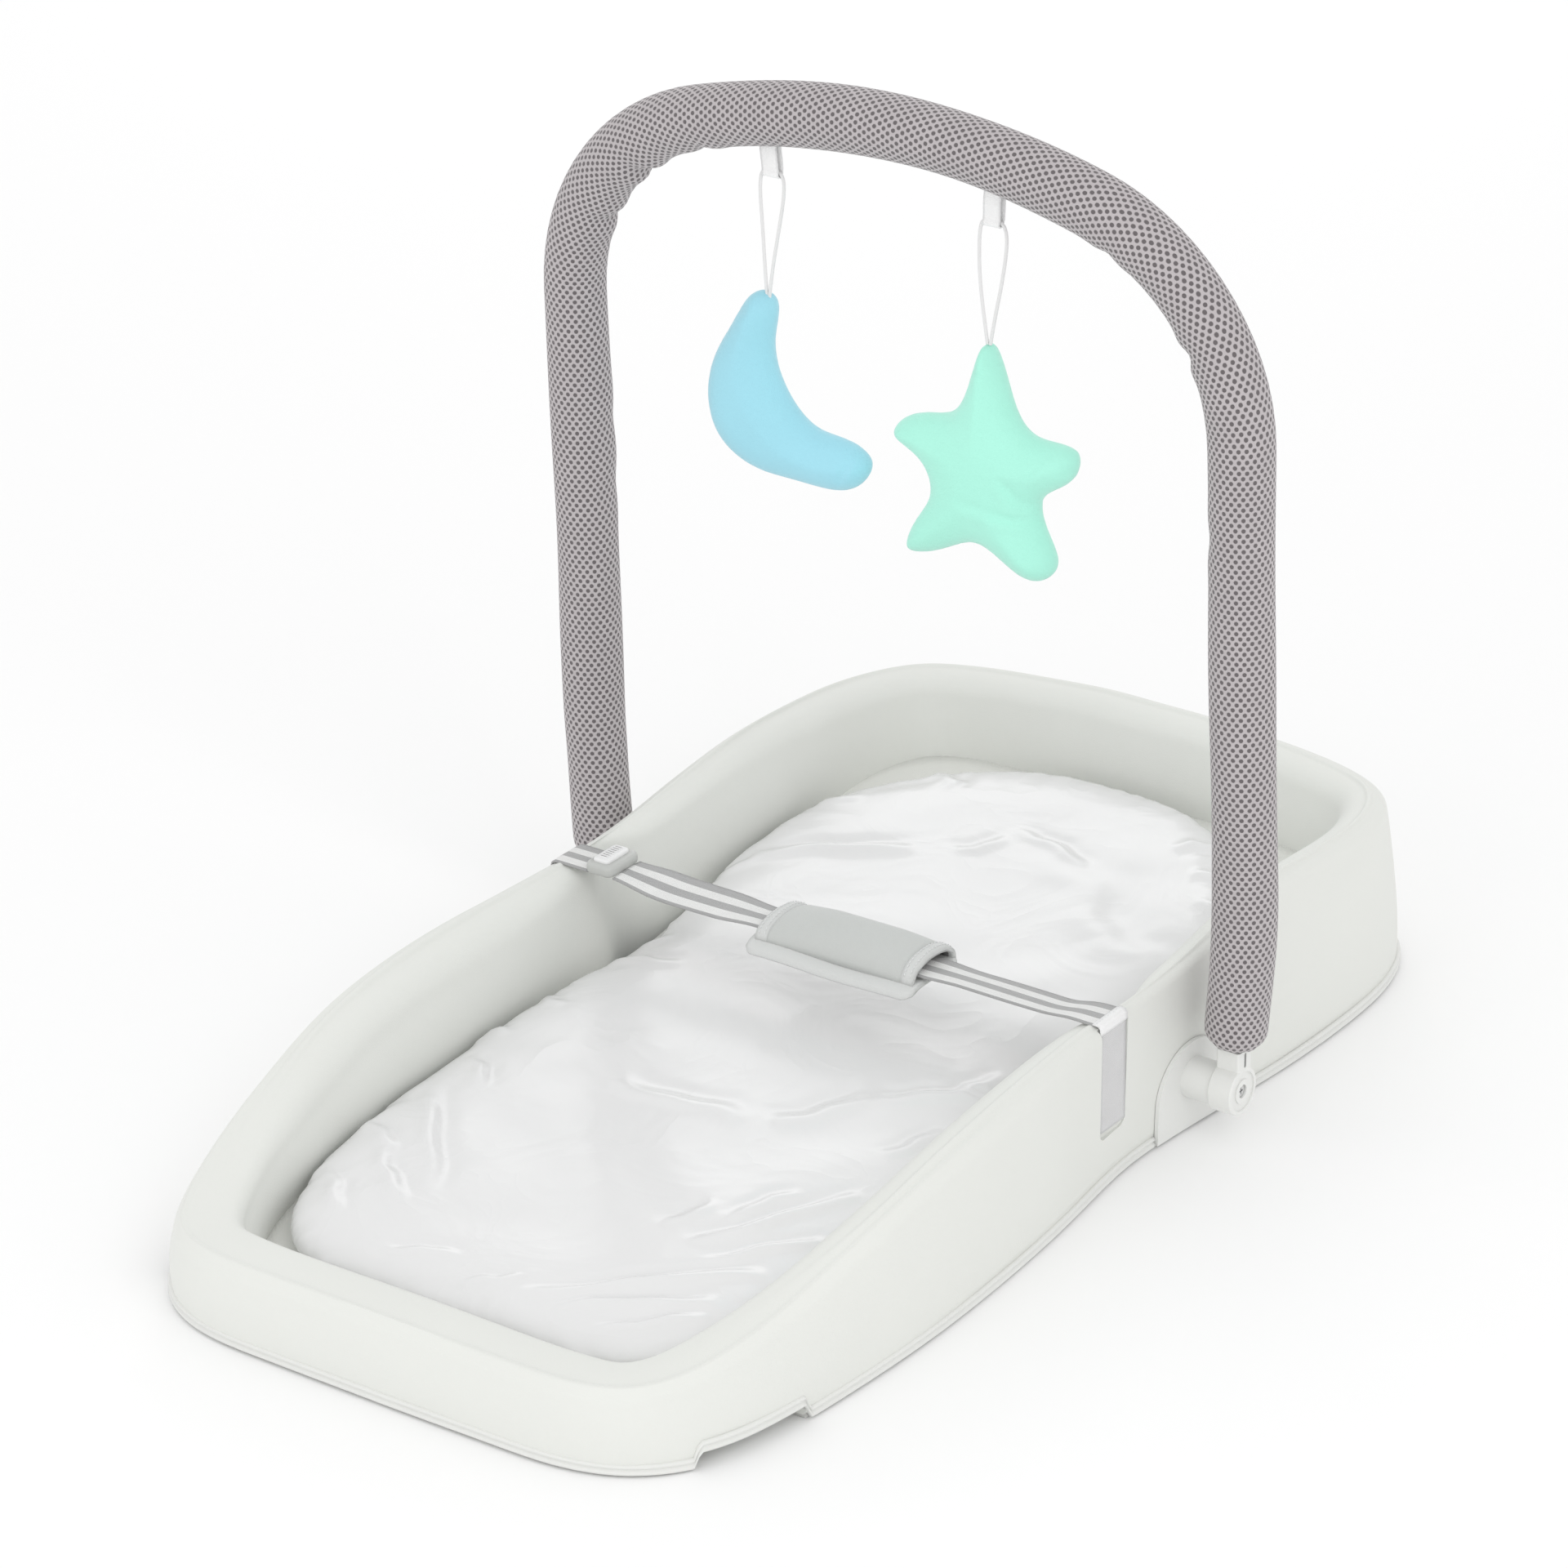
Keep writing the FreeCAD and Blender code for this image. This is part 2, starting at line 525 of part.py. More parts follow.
def waist_strap():
    """Each side runs up its window, over the rim and in; the right one reaches the buckle."""
    wall_x = OUTER_X - WINDOW_DEPTH + GAP + STRAP_THICK
    over_rim = RIM_TOP_Z + 1.4 * GAP + STRAP_THICK / 2
    up_wall = [(wall_x, WINDOW_Z[0] + 6), (wall_x, over_rim)]
    across = [(RIM_INNER_X, over_rim), (RIM_INNER_X - 14, STRAP_SPAN_Z), (BUCKLE_X[1] + 36, STRAP_SPAN_Z),
              (BUCKLE_X[1] + GAP, over_rim)]
    right, right_length = webbing(up_wall + across)
    left, left_length = webbing(up_wall + [(-BUCKLE_X[0] + GAP, over_rim)])
    print("webbing lengths, right and left:", round(right_length, 1), round(left_length, 1))
    save(right, "waist_strap_right")
    save(mirror(left), "waist_strap_left")
    facing = box((OUTER_X - WINDOW_DEPTH - 2.2, OUTER_X - WINDOW_DEPTH),
                 (STRAP_Y - WINDOW_HALF, STRAP_Y + WINDOW_HALF), (WINDOW_Z[0] + 1, 90))
    save(facing, "strap_anchor_right")
    save(mirror(facing), "strap_anchor_left")


def buckle():
    mid_z = RIM_TOP_Z + GAP + BUCKLE_THICK / 2 + 0.3
    body = box(BUCKLE_X, (STRAP_Y - BUCKLE_WIDTH / 2, STRAP_Y + BUCKLE_WIDTH / 2),
               (mid_z - BUCKLE_THICK / 2, mid_z + BUCKLE_THICK / 2))
    body = body.makeFillet(4.0, [e for e in body.Edges if abs(e.tangentAt(e.FirstParameter).z) > 0.9])
    body = body.makeFillet(1.5, [e for e in body.Edges if e.BoundBox.ZLength < 0.01])
    middle = (BUCKLE_X[0] + BUCKLE_X[1]) / 2
    half_x, half_y = BUCKLE_PANEL[0] / 2, BUCKLE_PANEL[1] / 2
    window = box((middle - half_x, middle + half_x), (STRAP_Y - half_y, STRAP_Y + half_y),
                 (mid_z - 0.5, mid_z + 10))
    body = body.cut(window)
    save(body, "buckle_body")
    button = box((middle - half_x + GAP, middle + half_x - GAP),
                 (STRAP_Y - half_y + GAP, STRAP_Y + half_y - GAP),
                 (mid_z + 1.5, mid_z + BUCKLE_THICK / 2 + 1.2))
    button = button.makeFillet(1.0, [e for e in button.Edges if e.BoundBox.ZMin > mid_z + 3])
    save(button, "buckle_button")


def belly_pad():
    """Padded sleeve that slides along the strap: an arched top panel on a flat lower panel."""
    y_mid = sum(PAD_Y) / 2
    tunnel_low = STRAP_SPAN_Z - PAD_TUNNEL[1] / 2
    base_z = tunnel_low - 2.5
    low = [Vector(PAD_X[0], PAD_Y[0] + 3, tunnel_low), Vector(PAD_X[0], PAD_Y[1] - 3, tunnel_low)]
    top = Vector(PAD_X[0], y_mid, PAD_TOP_Z)
    arch = Part.Wire([Part.Arc(low[0], top, low[1]).toShape(), Part.makeLine(low[1], low[0])])
    length = PAD_X[1] - PAD_X[0]
    panel = Part.Face(arch).extrude(Vector(length, 0, 0))
    tunnel = box((PAD_X[0] - 1, PAD_X[1] + 1), (STRAP_Y - PAD_TUNNEL[0] / 2, STRAP_Y + PAD_TUNNEL[0] / 2),
                 (tunnel_low - 1, tunnel_low + PAD_TUNNEL[1]))
    panel = panel.cut(tunnel)
    core = box((PAD_X[0] + 8, PAD_X[1] - 8), (PAD_Y[0], PAD_Y[1]), (base_z, 120))
    save(panel.common(core), "belly_pad_panel")
    ends = panel.cut(core).Solids
    for node, solid in zip(("belly_pad_binding_left", "belly_pad_binding_right"),
                           sorted(ends, key=lambda s: s.CenterOfMass.x)):
        save(solid, node)
    lower = box((PAD_X[0] - 3, PAD_X[1] + 3), PAD_Y, (base_z, tunnel_low))
    lower = lower.makeFillet(6.0, [e for e in lower.Edges if abs(e.tangentAt(e.FirstParameter).z) > 0.9])
    save(lower, "belly_pad_base")


def mattress():
    cover = prism(MATTRESS, (5, 110)).common(sloped_slab(MATTRESS_BASE_Z + 0.2, MATTRESS_BASE_Z + MATTRESS_THICK))
    space = prism(offset(MATTRESS, -VINYL), (5, 110)).common(
        sloped_slab(MATTRESS_BASE_Z + 0.2 + VINYL, MATTRESS_BASE_Z + MATTRESS_THICK - VINYL))
    foam = prism(offset(MATTRESS, -VINYL - GAP), (5, 110)).common(
        sloped_slab(MATTRESS_BASE_Z + 0.2 + VINYL + 0.1, MATTRESS_BASE_Z + MATTRESS_THICK - VINYL - 0.1))
    save(cover.cut(space), "mattress_cover")
    save(foam, "mattress_foam")


def main():
    os.makedirs("parts", exist_ok=True)
    tub_floor()
    tub_walls()
    hubs()
    mattress()
    waist_strap()
    buckle()
    belly_pad()
    toy_bar()
    hanging_toys()


main()
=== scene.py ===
import math

import bpy
import numpy as np
from mathutils import Matrix, Vector


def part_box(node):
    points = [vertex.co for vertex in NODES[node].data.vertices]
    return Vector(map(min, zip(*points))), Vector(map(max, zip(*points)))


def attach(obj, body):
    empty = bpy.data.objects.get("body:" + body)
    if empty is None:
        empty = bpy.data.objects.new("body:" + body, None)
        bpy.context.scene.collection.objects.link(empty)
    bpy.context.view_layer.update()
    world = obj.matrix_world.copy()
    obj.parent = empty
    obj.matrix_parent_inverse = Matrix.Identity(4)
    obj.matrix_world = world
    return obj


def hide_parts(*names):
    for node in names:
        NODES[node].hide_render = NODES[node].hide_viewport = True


# Infant bouncer seat: X across the seat, Y from the foot end (-) to the head end (+), Z up.
# Outlines are in millimetres and run from the foot to the head on the right side; made meshes are in metres.

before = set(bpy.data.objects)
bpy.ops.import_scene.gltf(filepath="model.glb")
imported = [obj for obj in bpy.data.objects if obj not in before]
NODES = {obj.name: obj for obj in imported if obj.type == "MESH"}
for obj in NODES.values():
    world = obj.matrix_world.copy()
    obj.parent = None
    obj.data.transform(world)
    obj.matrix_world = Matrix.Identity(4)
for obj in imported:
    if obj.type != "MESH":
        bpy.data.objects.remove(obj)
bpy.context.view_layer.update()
MM = 0.001

# --- shapes shared by several pieces ---------------------------------------------------------
HEM = [(0, -381), (38, -381), (76, -380.6), (112, -378.5), (146, -366.5), (173, -337), (186, -294),
       (192.5, -240), (196, -181), (195, -110), (188, -20), (182, 40), (185, 100), (193, 180), (195.5, 255),
       (190, 308), (170, 350), (137, 371), (100, 378.5), (68, 380.6), (34, 381), (0, 381)]
CREST = [(0, -380), (46, -380), (88, -379.6), (119, -377), (146, -366), (166, -340), (179, -303),
         (188, -255), (195, -188), (195, -108), (188, -20), (184.5, 40), (186, 100), (187, 180), (188, 250),
         (184.5, 300), (167, 341), (138, 359.5), (102, 366), (68, 368), (34, 368.3), (0, 368.3)]
RIM_WIDTH = [38, 38, 38, 38, 37.5, 36.5, 35, 33.5, 33, 33, 27, 19, 20, 24, 27, 28, 28, 28, 28, 28, 28, 28]
RIM_HEIGHT = [48, 47.5, 47, 47, 47, 49, 56, 69, 86, 95, 98,
              98, 102, 111, 109, 106, 104, 104, 106, 108, 110, 110]
FLOOR = [(0, -337.5), (35, -337.5), (68, -337), (97, -335), (119, -327.5), (136, -309), (147, -282),
         (156, -240), (162, -186), (163, -109), (157, -20), (147, 40), (152, 100), (161, 180), (160, 247),
         (154, 289), (141, 315), (120, 329), (93, 334), (62, 335.5), (31, 336), (0, 336)]
MATTRESS = [(0, -332), (31, -332), (60, -332), (88, -329.5), (114, -319), (137, -294), (151, -256),
            (158, -190), (159, -108), (152, -20), (143, 30), (149, 90), (157, 160), (153, 210), (139, 245),
            (116, 278), (85, 304), (50, 321), (25, 325.5), (0, 326.5)]
SLOPE = 44.0 / 680.0
STRAP_Y = 22.0
# Middle of the stretch that holds the strap and the hubs, where the outer walls stay flat.
FLAT_Y = 70


# --- small tools -------------------------------------------------------------------------------
def whole_loop(half):
    """Right half outline plus its mirror image, as one closed loop of points."""
    half = np.array(half, float)
    return np.vstack([half, (half * [-1, 1])[::-1][1:-1]])


def smooth_closed(points, spacing, count):
    """Points along a smooth closed curve through points; spacing is the loop whose distances pace it."""
    step = np.linalg.norm(np.roll(spacing, -1, 0) - spacing, axis=1)
    size = len(points)
    system = np.zeros((size, size))
    target = np.zeros(points.shape)
    for i in range(size):
        before, after = step[i - 1], step[i]
        system[i, i - 1] += before
        system[i, i] += 2 * (before + after)
        system[i, (i + 1) % size] += after
        rise = (points[(i + 1) % size] - points[i]) / after
        target[i] = 6 * (rise - (points[i] - points[i - 1]) / before)
    bend = np.linalg.solve(system, target)
    ends = np.cumsum(step)
    found = []
    for place in np.arange(count) / count * ends[-1]:
        i = int(np.searchsorted(ends, place, side="right"))
        j, run = (i + 1) % size, step[i]
        u = place - ends[i] + run
        v = run - u
        curve = (bend[i] * v ** 3 + bend[j] * u ** 3) / (6 * run)
        line = (points[i] / run - bend[i] * run / 6) * v
        found.append(curve + line + (points[j] / run - bend[j] * run / 6) * u)
    return np.array(found)


def blend_line(positions, *knots):
    """Values at positions that ease between (position, value) knots."""
    places, values = zip(*knots)
    spread = np.interp(positions, places, range(len(places)))
    low = np.clip(np.floor(spread).astype(int), 0, len(values) - 2)
    part = spread - low
    part = part * part * (3 - 2 * part)
    values = np.array(values, float)
    return values[low] * (1 - part) + values[low + 1] * part


def sheet_mesh(name, rows, wrap_rows=False, wrap_columns=False, cap_ends=False, cells=None):
    """Quad mesh through a grid of points in millimetres, with cells (u, v) as its UV map when given."""
    rows = np.array(rows, float)
    count, width = rows.shape[:2]
    last_row = count if wrap_rows else count - 1
    last_column = width if wrap_columns else width - 1
    faces, corners = [], []
    for i in range(last_row):
        for j in range(last_column):
            a, b = (i + 1) % count, (j + 1) % width
            faces.append((i * width + j, i * width + b, a * width + b, a * width + j))
            corners.append(((i, j), (i, j + 1), (i + 1, j + 1), (i + 1, j)))
    if cap_ends:
        faces.append(tuple(range(width))[::-1])
        faces.append(tuple((count - 1) * width + j for j in range(width)))
        corners += [tuple((0, j) for j in range(width))[::-1], tuple((count - 1, j) for j in range(width))]
    mesh = bpy.data.meshes.new(name)
    mesh.from_pydata((rows.reshape(-1, 3) * MM).tolist(), [], faces)
    if cells:
        layer = mesh.uv_layers.new(name="weave")
        flat = [(cells[0](j), cells[1](i)) for face in corners for i, j in face]
        layer.data.foreach_set("uv", np.array(flat, float).ravel())
    mesh.polygons.foreach_set("use_smooth", [True] * len(mesh.polygons))
    mesh.update()
    if cap_ends or (wrap_rows and wrap_columns):
        face_outwards(mesh)
    return place_mesh(name, mesh)


def face_outwards(mesh):
    """Turn a closed mesh's faces outwards when they look inwards."""
    mesh.calc_loop_triangles()
    points = np.array([vertex.co for vertex in mesh.vertices])
    corners = points[np.array([triangle.vertices for triangle in mesh.loop_triangles])]
    if np.einsum("ij,ij->i", corners[:, 0], np.cross(corners[:, 1], corners[:, 2])).sum() < 0:
        mesh.flip_normals()


def place_mesh(name, mesh):
    """Stand a mesh in the scene as a named piece."""
    piece = bpy.data.objects.new(name, mesh)
    bpy.context.scene.collection.objects.link(piece)
    return piece


def settle(piece):
    """Apply every modifier of a piece to its mesh."""
    bpy.context.view_layer.update()
    evaluated = piece.evaluated_get(bpy.context.evaluated_depsgraph_get())
    mesh = bpy.data.meshes.new_from_object(evaluated)
    piece.modifiers.clear()
    piece.data = mesh


def subdivide(piece):
    """Smooth a piece by one level of subdivision."""
    modifier = piece.modifiers.new("smooth", "SUBSURF")
    modifier.levels = 1
    modifier.render_levels = 1
    settle(piece)


def remesh(piece, voxel):
    """Replace a piece's skin by even small faces; voxel is their size."""
    modifier = piece.modifiers.new("even skin", "REMESH")
    modifier.mode = "VOXEL"
    modifier.voxel_size = voxel * MM
    modifier.use_smooth_shade = True
    settle(piece)


def get_points(piece):
    """Vertex positions of a piece, in millimetres."""
    points = np.empty(len(piece.data.vertices) * 3)
    piece.data.vertices.foreach_get("co", points)
    return points.reshape(-1, 3) / MM


def set_points(piece, points):
    piece.data.vertices.foreach_set("co", (np.asarray(points) * MM).ravel())
    piece.data.update()


def get_normals(piece):
    normals = np.empty(len(piece.data.vertices) * 3)
    piece.data.vertex_normals.foreach_get("vector", normals)
    return normals.reshape(-1, 3)


CLOTH_STIFFNESS = 15.0


def inflate(piece, pressure, cap, frames=20):
    """Let a closed cloth skin swell under inner pressure, and keep each point within cap of its start."""
    start = get_points(piece)
    cloth = piece.modifiers.new("swell", "CLOTH")
    cloth.settings.quality = 4
    cloth.settings.mass = 0.3
    cloth.settings.tension_stiffness = CLOTH_STIFFNESS
    cloth.settings.compression_stiffness = CLOTH_STIFFNESS
    cloth.settings.shear_stiffness = CLOTH_STIFFNESS / 3
    cloth.settings.bending_stiffness = 0.5
    cloth.settings.use_pressure = True
    cloth.settings.uniform_pressure_force = pressure
    cloth.settings.effector_weights.gravity = 0.0
    cloth.collision_settings.use_collision = False
    for step in range(1, frames + 1):
        bpy.context.scene.frame_set(step)
    settle(piece)
    bpy.context.scene.frame_set(1)
    moved = get_points(piece) - start
    reach = np.linalg.norm(moved, axis=1, keepdims=True)
    set_points(piece, start + moved * np.minimum(1.0, cap / np.maximum(reach, 1e-6)))


def slab(name, outline, low, high):
    """Closed slab inside a loop of plan points; low and high give its bottom and top at a point."""
    bottom = [(x, y, low(x, y)) for x, y in outline]
    top = [(x, y, high(x, y)) for x, y in outline]
    return sheet_mesh(name, [bottom, top], wrap_columns=True, cap_ends=True)


def distance_inside(points, outline):
    """Distance from plan points to a closed outline."""
    starts = np.asarray(outline)
    runs = np.roll(starts, -1, 0) - starts
    nearest = np.full(len(points), 1e9)
    for start, run in zip(starts, runs):
        share = np.clip(((points - start) @ run) / (run @ run), 0, 1)
        nearest = np.minimum(nearest, np.linalg.norm(points - start - share[:, None] * run, axis=1))
    return nearest


def beside_line(points, start, end):
    """Share of the way along a line, and distance to its left, for points in its plane."""
    start, end = np.array(start, float), np.array(end, float)
    run = end - start
    length = np.linalg.norm(run)
    run /= length
    offset = points - start
    return offset @ run / length, offset @ np.array([-run[1], run[0]])


def crease(piece, start, end, height, width):
    """Raise a soft, wandering fold with a valley beside it, along a line on the upper side of a piece."""
    points = get_points(piece)
    upper = np.clip(get_normals(piece)[:, 2] * 2, 0, 1)
    along, aside = beside_line(points[:, :2], start, end)
    wander = 0.3 * width
    aside += wander * np.sin(7 * along + start[0]) + wander * np.sin(15 * along + end[1]) / 2
    fade = np.sin(np.pi * np.clip(along, 0, 1)) ** 0.7
    ridge = np.exp(-(aside / width) ** 2)
    valley = np.exp(-((aside - 1.7 * width) / width) ** 2)
    points[:, 2] += height * fade * upper * (ridge - 0.55 * valley)
    set_points(piece, points)


def directions(path):
    """Unit tangents along a path."""
    tangents = np.gradient(path, axis=0)
    return tangents / np.linalg.norm(tangents, axis=1, keepdims=True)


def outward_of(loop):
    """Unit directions out of a closed plan loop, one for each of its points."""
    tangent = np.roll(loop, -1, 0) - np.roll(loop, 1, 0)
    tangent /= np.linalg.norm(tangent, axis=1, keepdims=True)
    return np.stack([tangent[:, 1], -tangent[:, 0]], 1)


def tube_rows(path, radii, count):
    """Rings of points around a path; radii is a function of ring index and angle."""
    path = np.array(path, float)
    tangents = directions(path)
    angles = np.arange(count) / count * 2 * math.pi
    rows = []
    side = np.array([0.0, 1.0, 0.0]) if abs(tangents[0][1]) < 0.9 else np.array([1.0, 0.0, 0.0])
    for i, (point, tangent) in enumerate(zip(path, tangents)):
        side = side - tangent * (side @ tangent)
        side /= np.linalg.norm(side)
        other = np.cross(tangent, side)
        reach = radii(i, angles)[:, None]
        rows.append(point + reach * (np.cos(angles)[:, None] * side + np.sin(angles)[:, None] * other))
    return rows


def walk(points, step):
    """Evenly spaced points along a polyline."""
    points = np.array(points, float)
    lengths = np.r_[0, np.cumsum(np.linalg.norm(np.diff(points, axis=0), axis=1))]
    places = np.linspace(0, lengths[-1], max(2, int(round(lengths[-1] / step)) + 1))
    return np.stack([np.interp(places, lengths, points[:, k]) for k in range(points.shape[1])], 1)


# --- camera ------------------------------------------------------------------------------------
CAMERA_TURN, CAMERA_LIFT, CAMERA_ROLL = math.radians(35.651), math.radians(25.266), math.radians(-0.819)
CAMERA_DISTANCE = 3.2382
CAMERA_LEFT, CAMERA_DOWN = 0.012059, 0.001092
CAMERA_TARGET = Vector((0, 0, 0.2))
CAMERA_LENS = 137.459


def make_camera():
    """Looks at the seat from its foot end, from the right and above."""
    turn, lift, roll = CAMERA_TURN, CAMERA_LIFT, CAMERA_ROLL
    back = Vector((math.sin(turn) * math.cos(lift), -math.cos(turn) * math.cos(lift), math.sin(lift)))
    right = Vector((math.cos(turn), math.sin(turn), 0))
    up = back.cross(right)
    across = right * math.cos(roll) + up * math.sin(roll)
    upright = up * math.cos(roll) - right * math.sin(roll)
    place = CAMERA_TARGET + back * CAMERA_DISTANCE - right * CAMERA_LEFT - up * CAMERA_DOWN
    data = bpy.data.cameras.new("studio camera")
    data.lens = CAMERA_LENS
    data.sensor_width = 36.0
    camera = bpy.data.objects.new("studio_camera", data)
    bpy.context.scene.collection.objects.link(camera)
    rows = [(across[i], upright[i], back[i], place[i]) for i in range(3)]
    camera.matrix_world = Matrix(rows + [(0, 0, 0, 1)])
    bpy.context.scene.camera = camera


make_camera()

# --- cords of the hanging toys -----------------------------------------------------------------
TOY_CORDS = {
    "moon": [(-82.6, 435.4), (-83.6, 450), (-84.8, 474), (-86.4, 497), (-85.0, 507.8), (-78, 508.4),
             (-71.0, 507.8), (-70.0, 497), (-74.4, 474), (-79.2, 450), (-81.0, 435.4)],
    "star": [(60.6, 438.4), (58.2, 454), (55.4, 476), (55.2, 498), (57.0, 507.8), (64, 508.4),
             (71.0, 507.8), (73.2, 498), (70.0, 476), (65.2, 454), (62.4, 438.4)],
}
CORD_DIAMETER = 0.002
TOY_PLANE_Y = 85.302


def hang_cord(toy):
    """Thin white loop through the ribbon tab, both ends sewn into the toy's tip."""
    data = bpy.data.curves.new("toy cord " + toy, "CURVE")
    data.dimensions = "3D"
    spline = data.splines.new("NURBS")
    spline.points.add(len(TOY_CORDS[toy]) - 1)
    for point, (x, z) in zip(spline.points, TOY_CORDS[toy]):
        point.co = (x * MM, TOY_PLANE_Y * MM, z * MM, 1)
        point.radius = CORD_DIAMETER / 2
    spline.order_u = 3
    spline.use_endpoint_u = True
    spline.resolution_u = 12
    data.bevel_depth = 1.0
    data.bevel_resolution = 3
    data.use_fill_caps = True
    cord = bpy.data.objects.new("hanging_cord_" + toy, data)
    bpy.context.scene.collection.objects.link(cord)
    x, z = TOY_CORDS[toy][0]
    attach(cord, toy + "_cord")
    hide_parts("toy_cord_" + toy)
    return cord


cords = [hang_cord(toy) for toy in TOY_CORDS]


# --- shared surface effects --------------------------------------------------------------------
NODE_SETTINGS = ("operation", "data_type", "feature")


def feed(tree, value, socket):
    """Give an input its value, which is a number, a colour or another socket."""
    if isinstance(value, bpy.types.NodeSocket):
        tree.links.new(value, socket)
    else:
        socket.default_value = value


def add(tree, kind, **inputs):
    """New shader node with its settings and inputs; i2 stands for the input at place 2."""
    node = tree.nodes.new("ShaderNode" + kind)
    for label in NODE_SETTINGS:
        if label in inputs:
            setattr(node, label, inputs.pop(label))
    for label, value in inputs.items():
        feed(tree, value, node.inputs[int(label[1:]) if label[1:].isdigit() else label])
    return node


def effect(name, inputs, outputs):
    """Empty node group with its named inputs and outputs."""
    tree = bpy.data.node_groups.new(name, "ShaderNodeTree")
    kinds = {"number": "NodeSocketFloat", "colour": "NodeSocketColor", "vector": "NodeSocketVector"}
    for label, kind, value in inputs:
        socket = tree.interface.new_socket(label, in_out="INPUT", socket_type=kinds[kind])
        socket.default_value = value
    for label, kind in outputs:
        tree.interface.new_socket(label, in_out="OUTPUT", socket_type=kinds[kind])
    return tree, tree.nodes.new("NodeGroupInput"), tree.nodes.new("NodeGroupOutput")


def math_node(tree, operation, first, second=0.0):
    """Output of a Math node."""
    return add(tree, "Math", operation=operation, i0=first, i1=second).outputs[0]


def make_cloth_grain():
    """Fine leathery grain with a slower unevenness under it."""
    tree, given, out = effect("cloth grain", [("Scale", "number", 900.0), ("Waviness", "number", 0.3)],
                              [("Height", "number")])
    place = tree.nodes.new("ShaderNodeTexCoord").outputs["Object"]
    pebbles = add(tree, "TexVoronoi", Vector=place, Scale=given.outputs["Scale"], feature="F1")
    finer = math_node(tree, "MULTIPLY", given.outputs["Scale"], 2.3)
    fibres = add(tree, "TexNoise", Vector=place, Scale=finer, Detail=3.0)
    waves = add(tree, "TexNoise", Vector=place, Scale=24.0, Detail=2.0)
    fine = math_node(tree, "ADD", math_node(tree, "MULTIPLY", pebbles.outputs["Distance"], 0.6),
                     math_node(tree, "MULTIPLY", fibres.outputs[0], 0.4))
    slow = math_node(tree, "MULTIPLY", waves.outputs[0], given.outputs["Waviness"])
    tree.links.new(math_node(tree, "ADD", fine, slow), out.inputs["Height"])
    return tree


def make_tone_drift():
    """Slow change of a colour over a surface, from handling and uneven dye."""
    inputs = [("Colour", "colour", (0.8, 0.8, 0.8, 1)), ("Drift", "number", 0.05), ("Scale", "number", 12.0)]
    tree, given, out = effect("tone drift", inputs, [("Colour", "colour")])
    place = tree.nodes.new("ShaderNodeTexCoord").outputs["Object"]
    cloud = add(tree, "TexNoise", Vector=place, Scale=given.outputs["Scale"], Detail=4.0)
    centred = math_node(tree, "SUBTRACT", cloud.outputs[0], 0.5)
    swing = math_node(tree, "MULTIPLY", centred, given.outputs["Drift"])
    value = math_node(tree, "ADD", math_node(tree, "MULTIPLY", swing, 2.0), 1.0)
    changed = add(tree, "HueSaturation", Value=value, Color=given.outputs["Colour"])
    tree.links.new(changed.outputs[0], out.inputs["Colour"])
    return tree


def make_sheet_ripple():
    """Shallow sharp-edged ripples of a thin glossy sheet over something soft."""
    tree, given, out = effect("sheet ripple", [("Scale", "number", 30.0), ("Sharpness", "number", 1.5)],
                              [("Height", "number")])
    place = tree.nodes.new("ShaderNodeTexCoord").outputs["Object"]
    broad = add(tree, "TexNoise", Vector=place, Scale=given.outputs["Scale"], Detail=2.5, Distortion=1.2)
    centred = math_node(tree, "ABSOLUTE", math_node(tree, "SUBTRACT", broad.outputs[0], 0.5))
    ridged = math_node(tree, "SUBTRACT", 1.0, math_node(tree, "MULTIPLY", centred, 2.0))
    ridged = math_node(tree, "POWER", ridged, given.outputs["Sharpness"])
    tree.links.new(ridged, out.inputs["Height"])
    return tree


def make_hole_rows():
    """Round holes in staggered rows; the UV map counts cells across and along."""
    tree, given, out = effect("hole rows", [("Hole", "number", 0.2), ("Softness", "number", 0.06)],
                              [("Mask", "number")])
    place = tree.nodes.new("ShaderNodeUVMap").outputs[0]
    split = add(tree, "SeparateXYZ", Vector=place)

    def lattice(shift):
        parts = []
        for socket, stretch in ((split.outputs[0], 1.0), (split.outputs[1], 1.3)):
            cell = math_node(tree, "FRACT", math_node(tree, "ADD", socket, 20.0 + shift))
            parts.append(math_node(tree, "MULTIPLY", math_node(tree, "SUBTRACT", cell, 0.5), stretch))
        squares = [math_node(tree, "MULTIPLY", part, part) for part in parts]
        return math_node(tree, "SQRT", math_node(tree, "ADD", *squares))

    nearest = math_node(tree, "MINIMUM", lattice(0.0), lattice(0.5))
    edge = math_node(tree, "SUBTRACT", given.outputs["Hole"], nearest)
    mask = math_node(tree, "DIVIDE", edge, given.outputs["Softness"])
    limited = add(tree, "Clamp", Value=mask)
    tree.links.new(limited.outputs[0], out.inputs["Mask"])
    return tree


def make_rib_weave():
    """Fine cross ribs of woven tape; the UV map runs in millimetres along the tape."""
    tree, given, out = effect("rib weave", [("Pitch", "number", 1.0)], [("Height", "number")])
    place = tree.nodes.new("ShaderNodeUVMap").outputs[0]
    split = add(tree, "SeparateXYZ", Vector=place)
    turns = math_node(tree, "DIVIDE", split.outputs[1], given.outputs["Pitch"])
    ribs = math_node(tree, "SINE", math_node(tree, "MULTIPLY", turns, 2 * math.pi))
    threads = math_node(tree, "SINE", math_node(tree, "MULTIPLY", split.outputs[0], 2 * math.pi * 14))
    threads = math_node(tree, "MULTIPLY", threads, 0.5)
    tree.links.new(math_node(tree, "ADD", ribs, threads), out.inputs["Height"])
    return tree


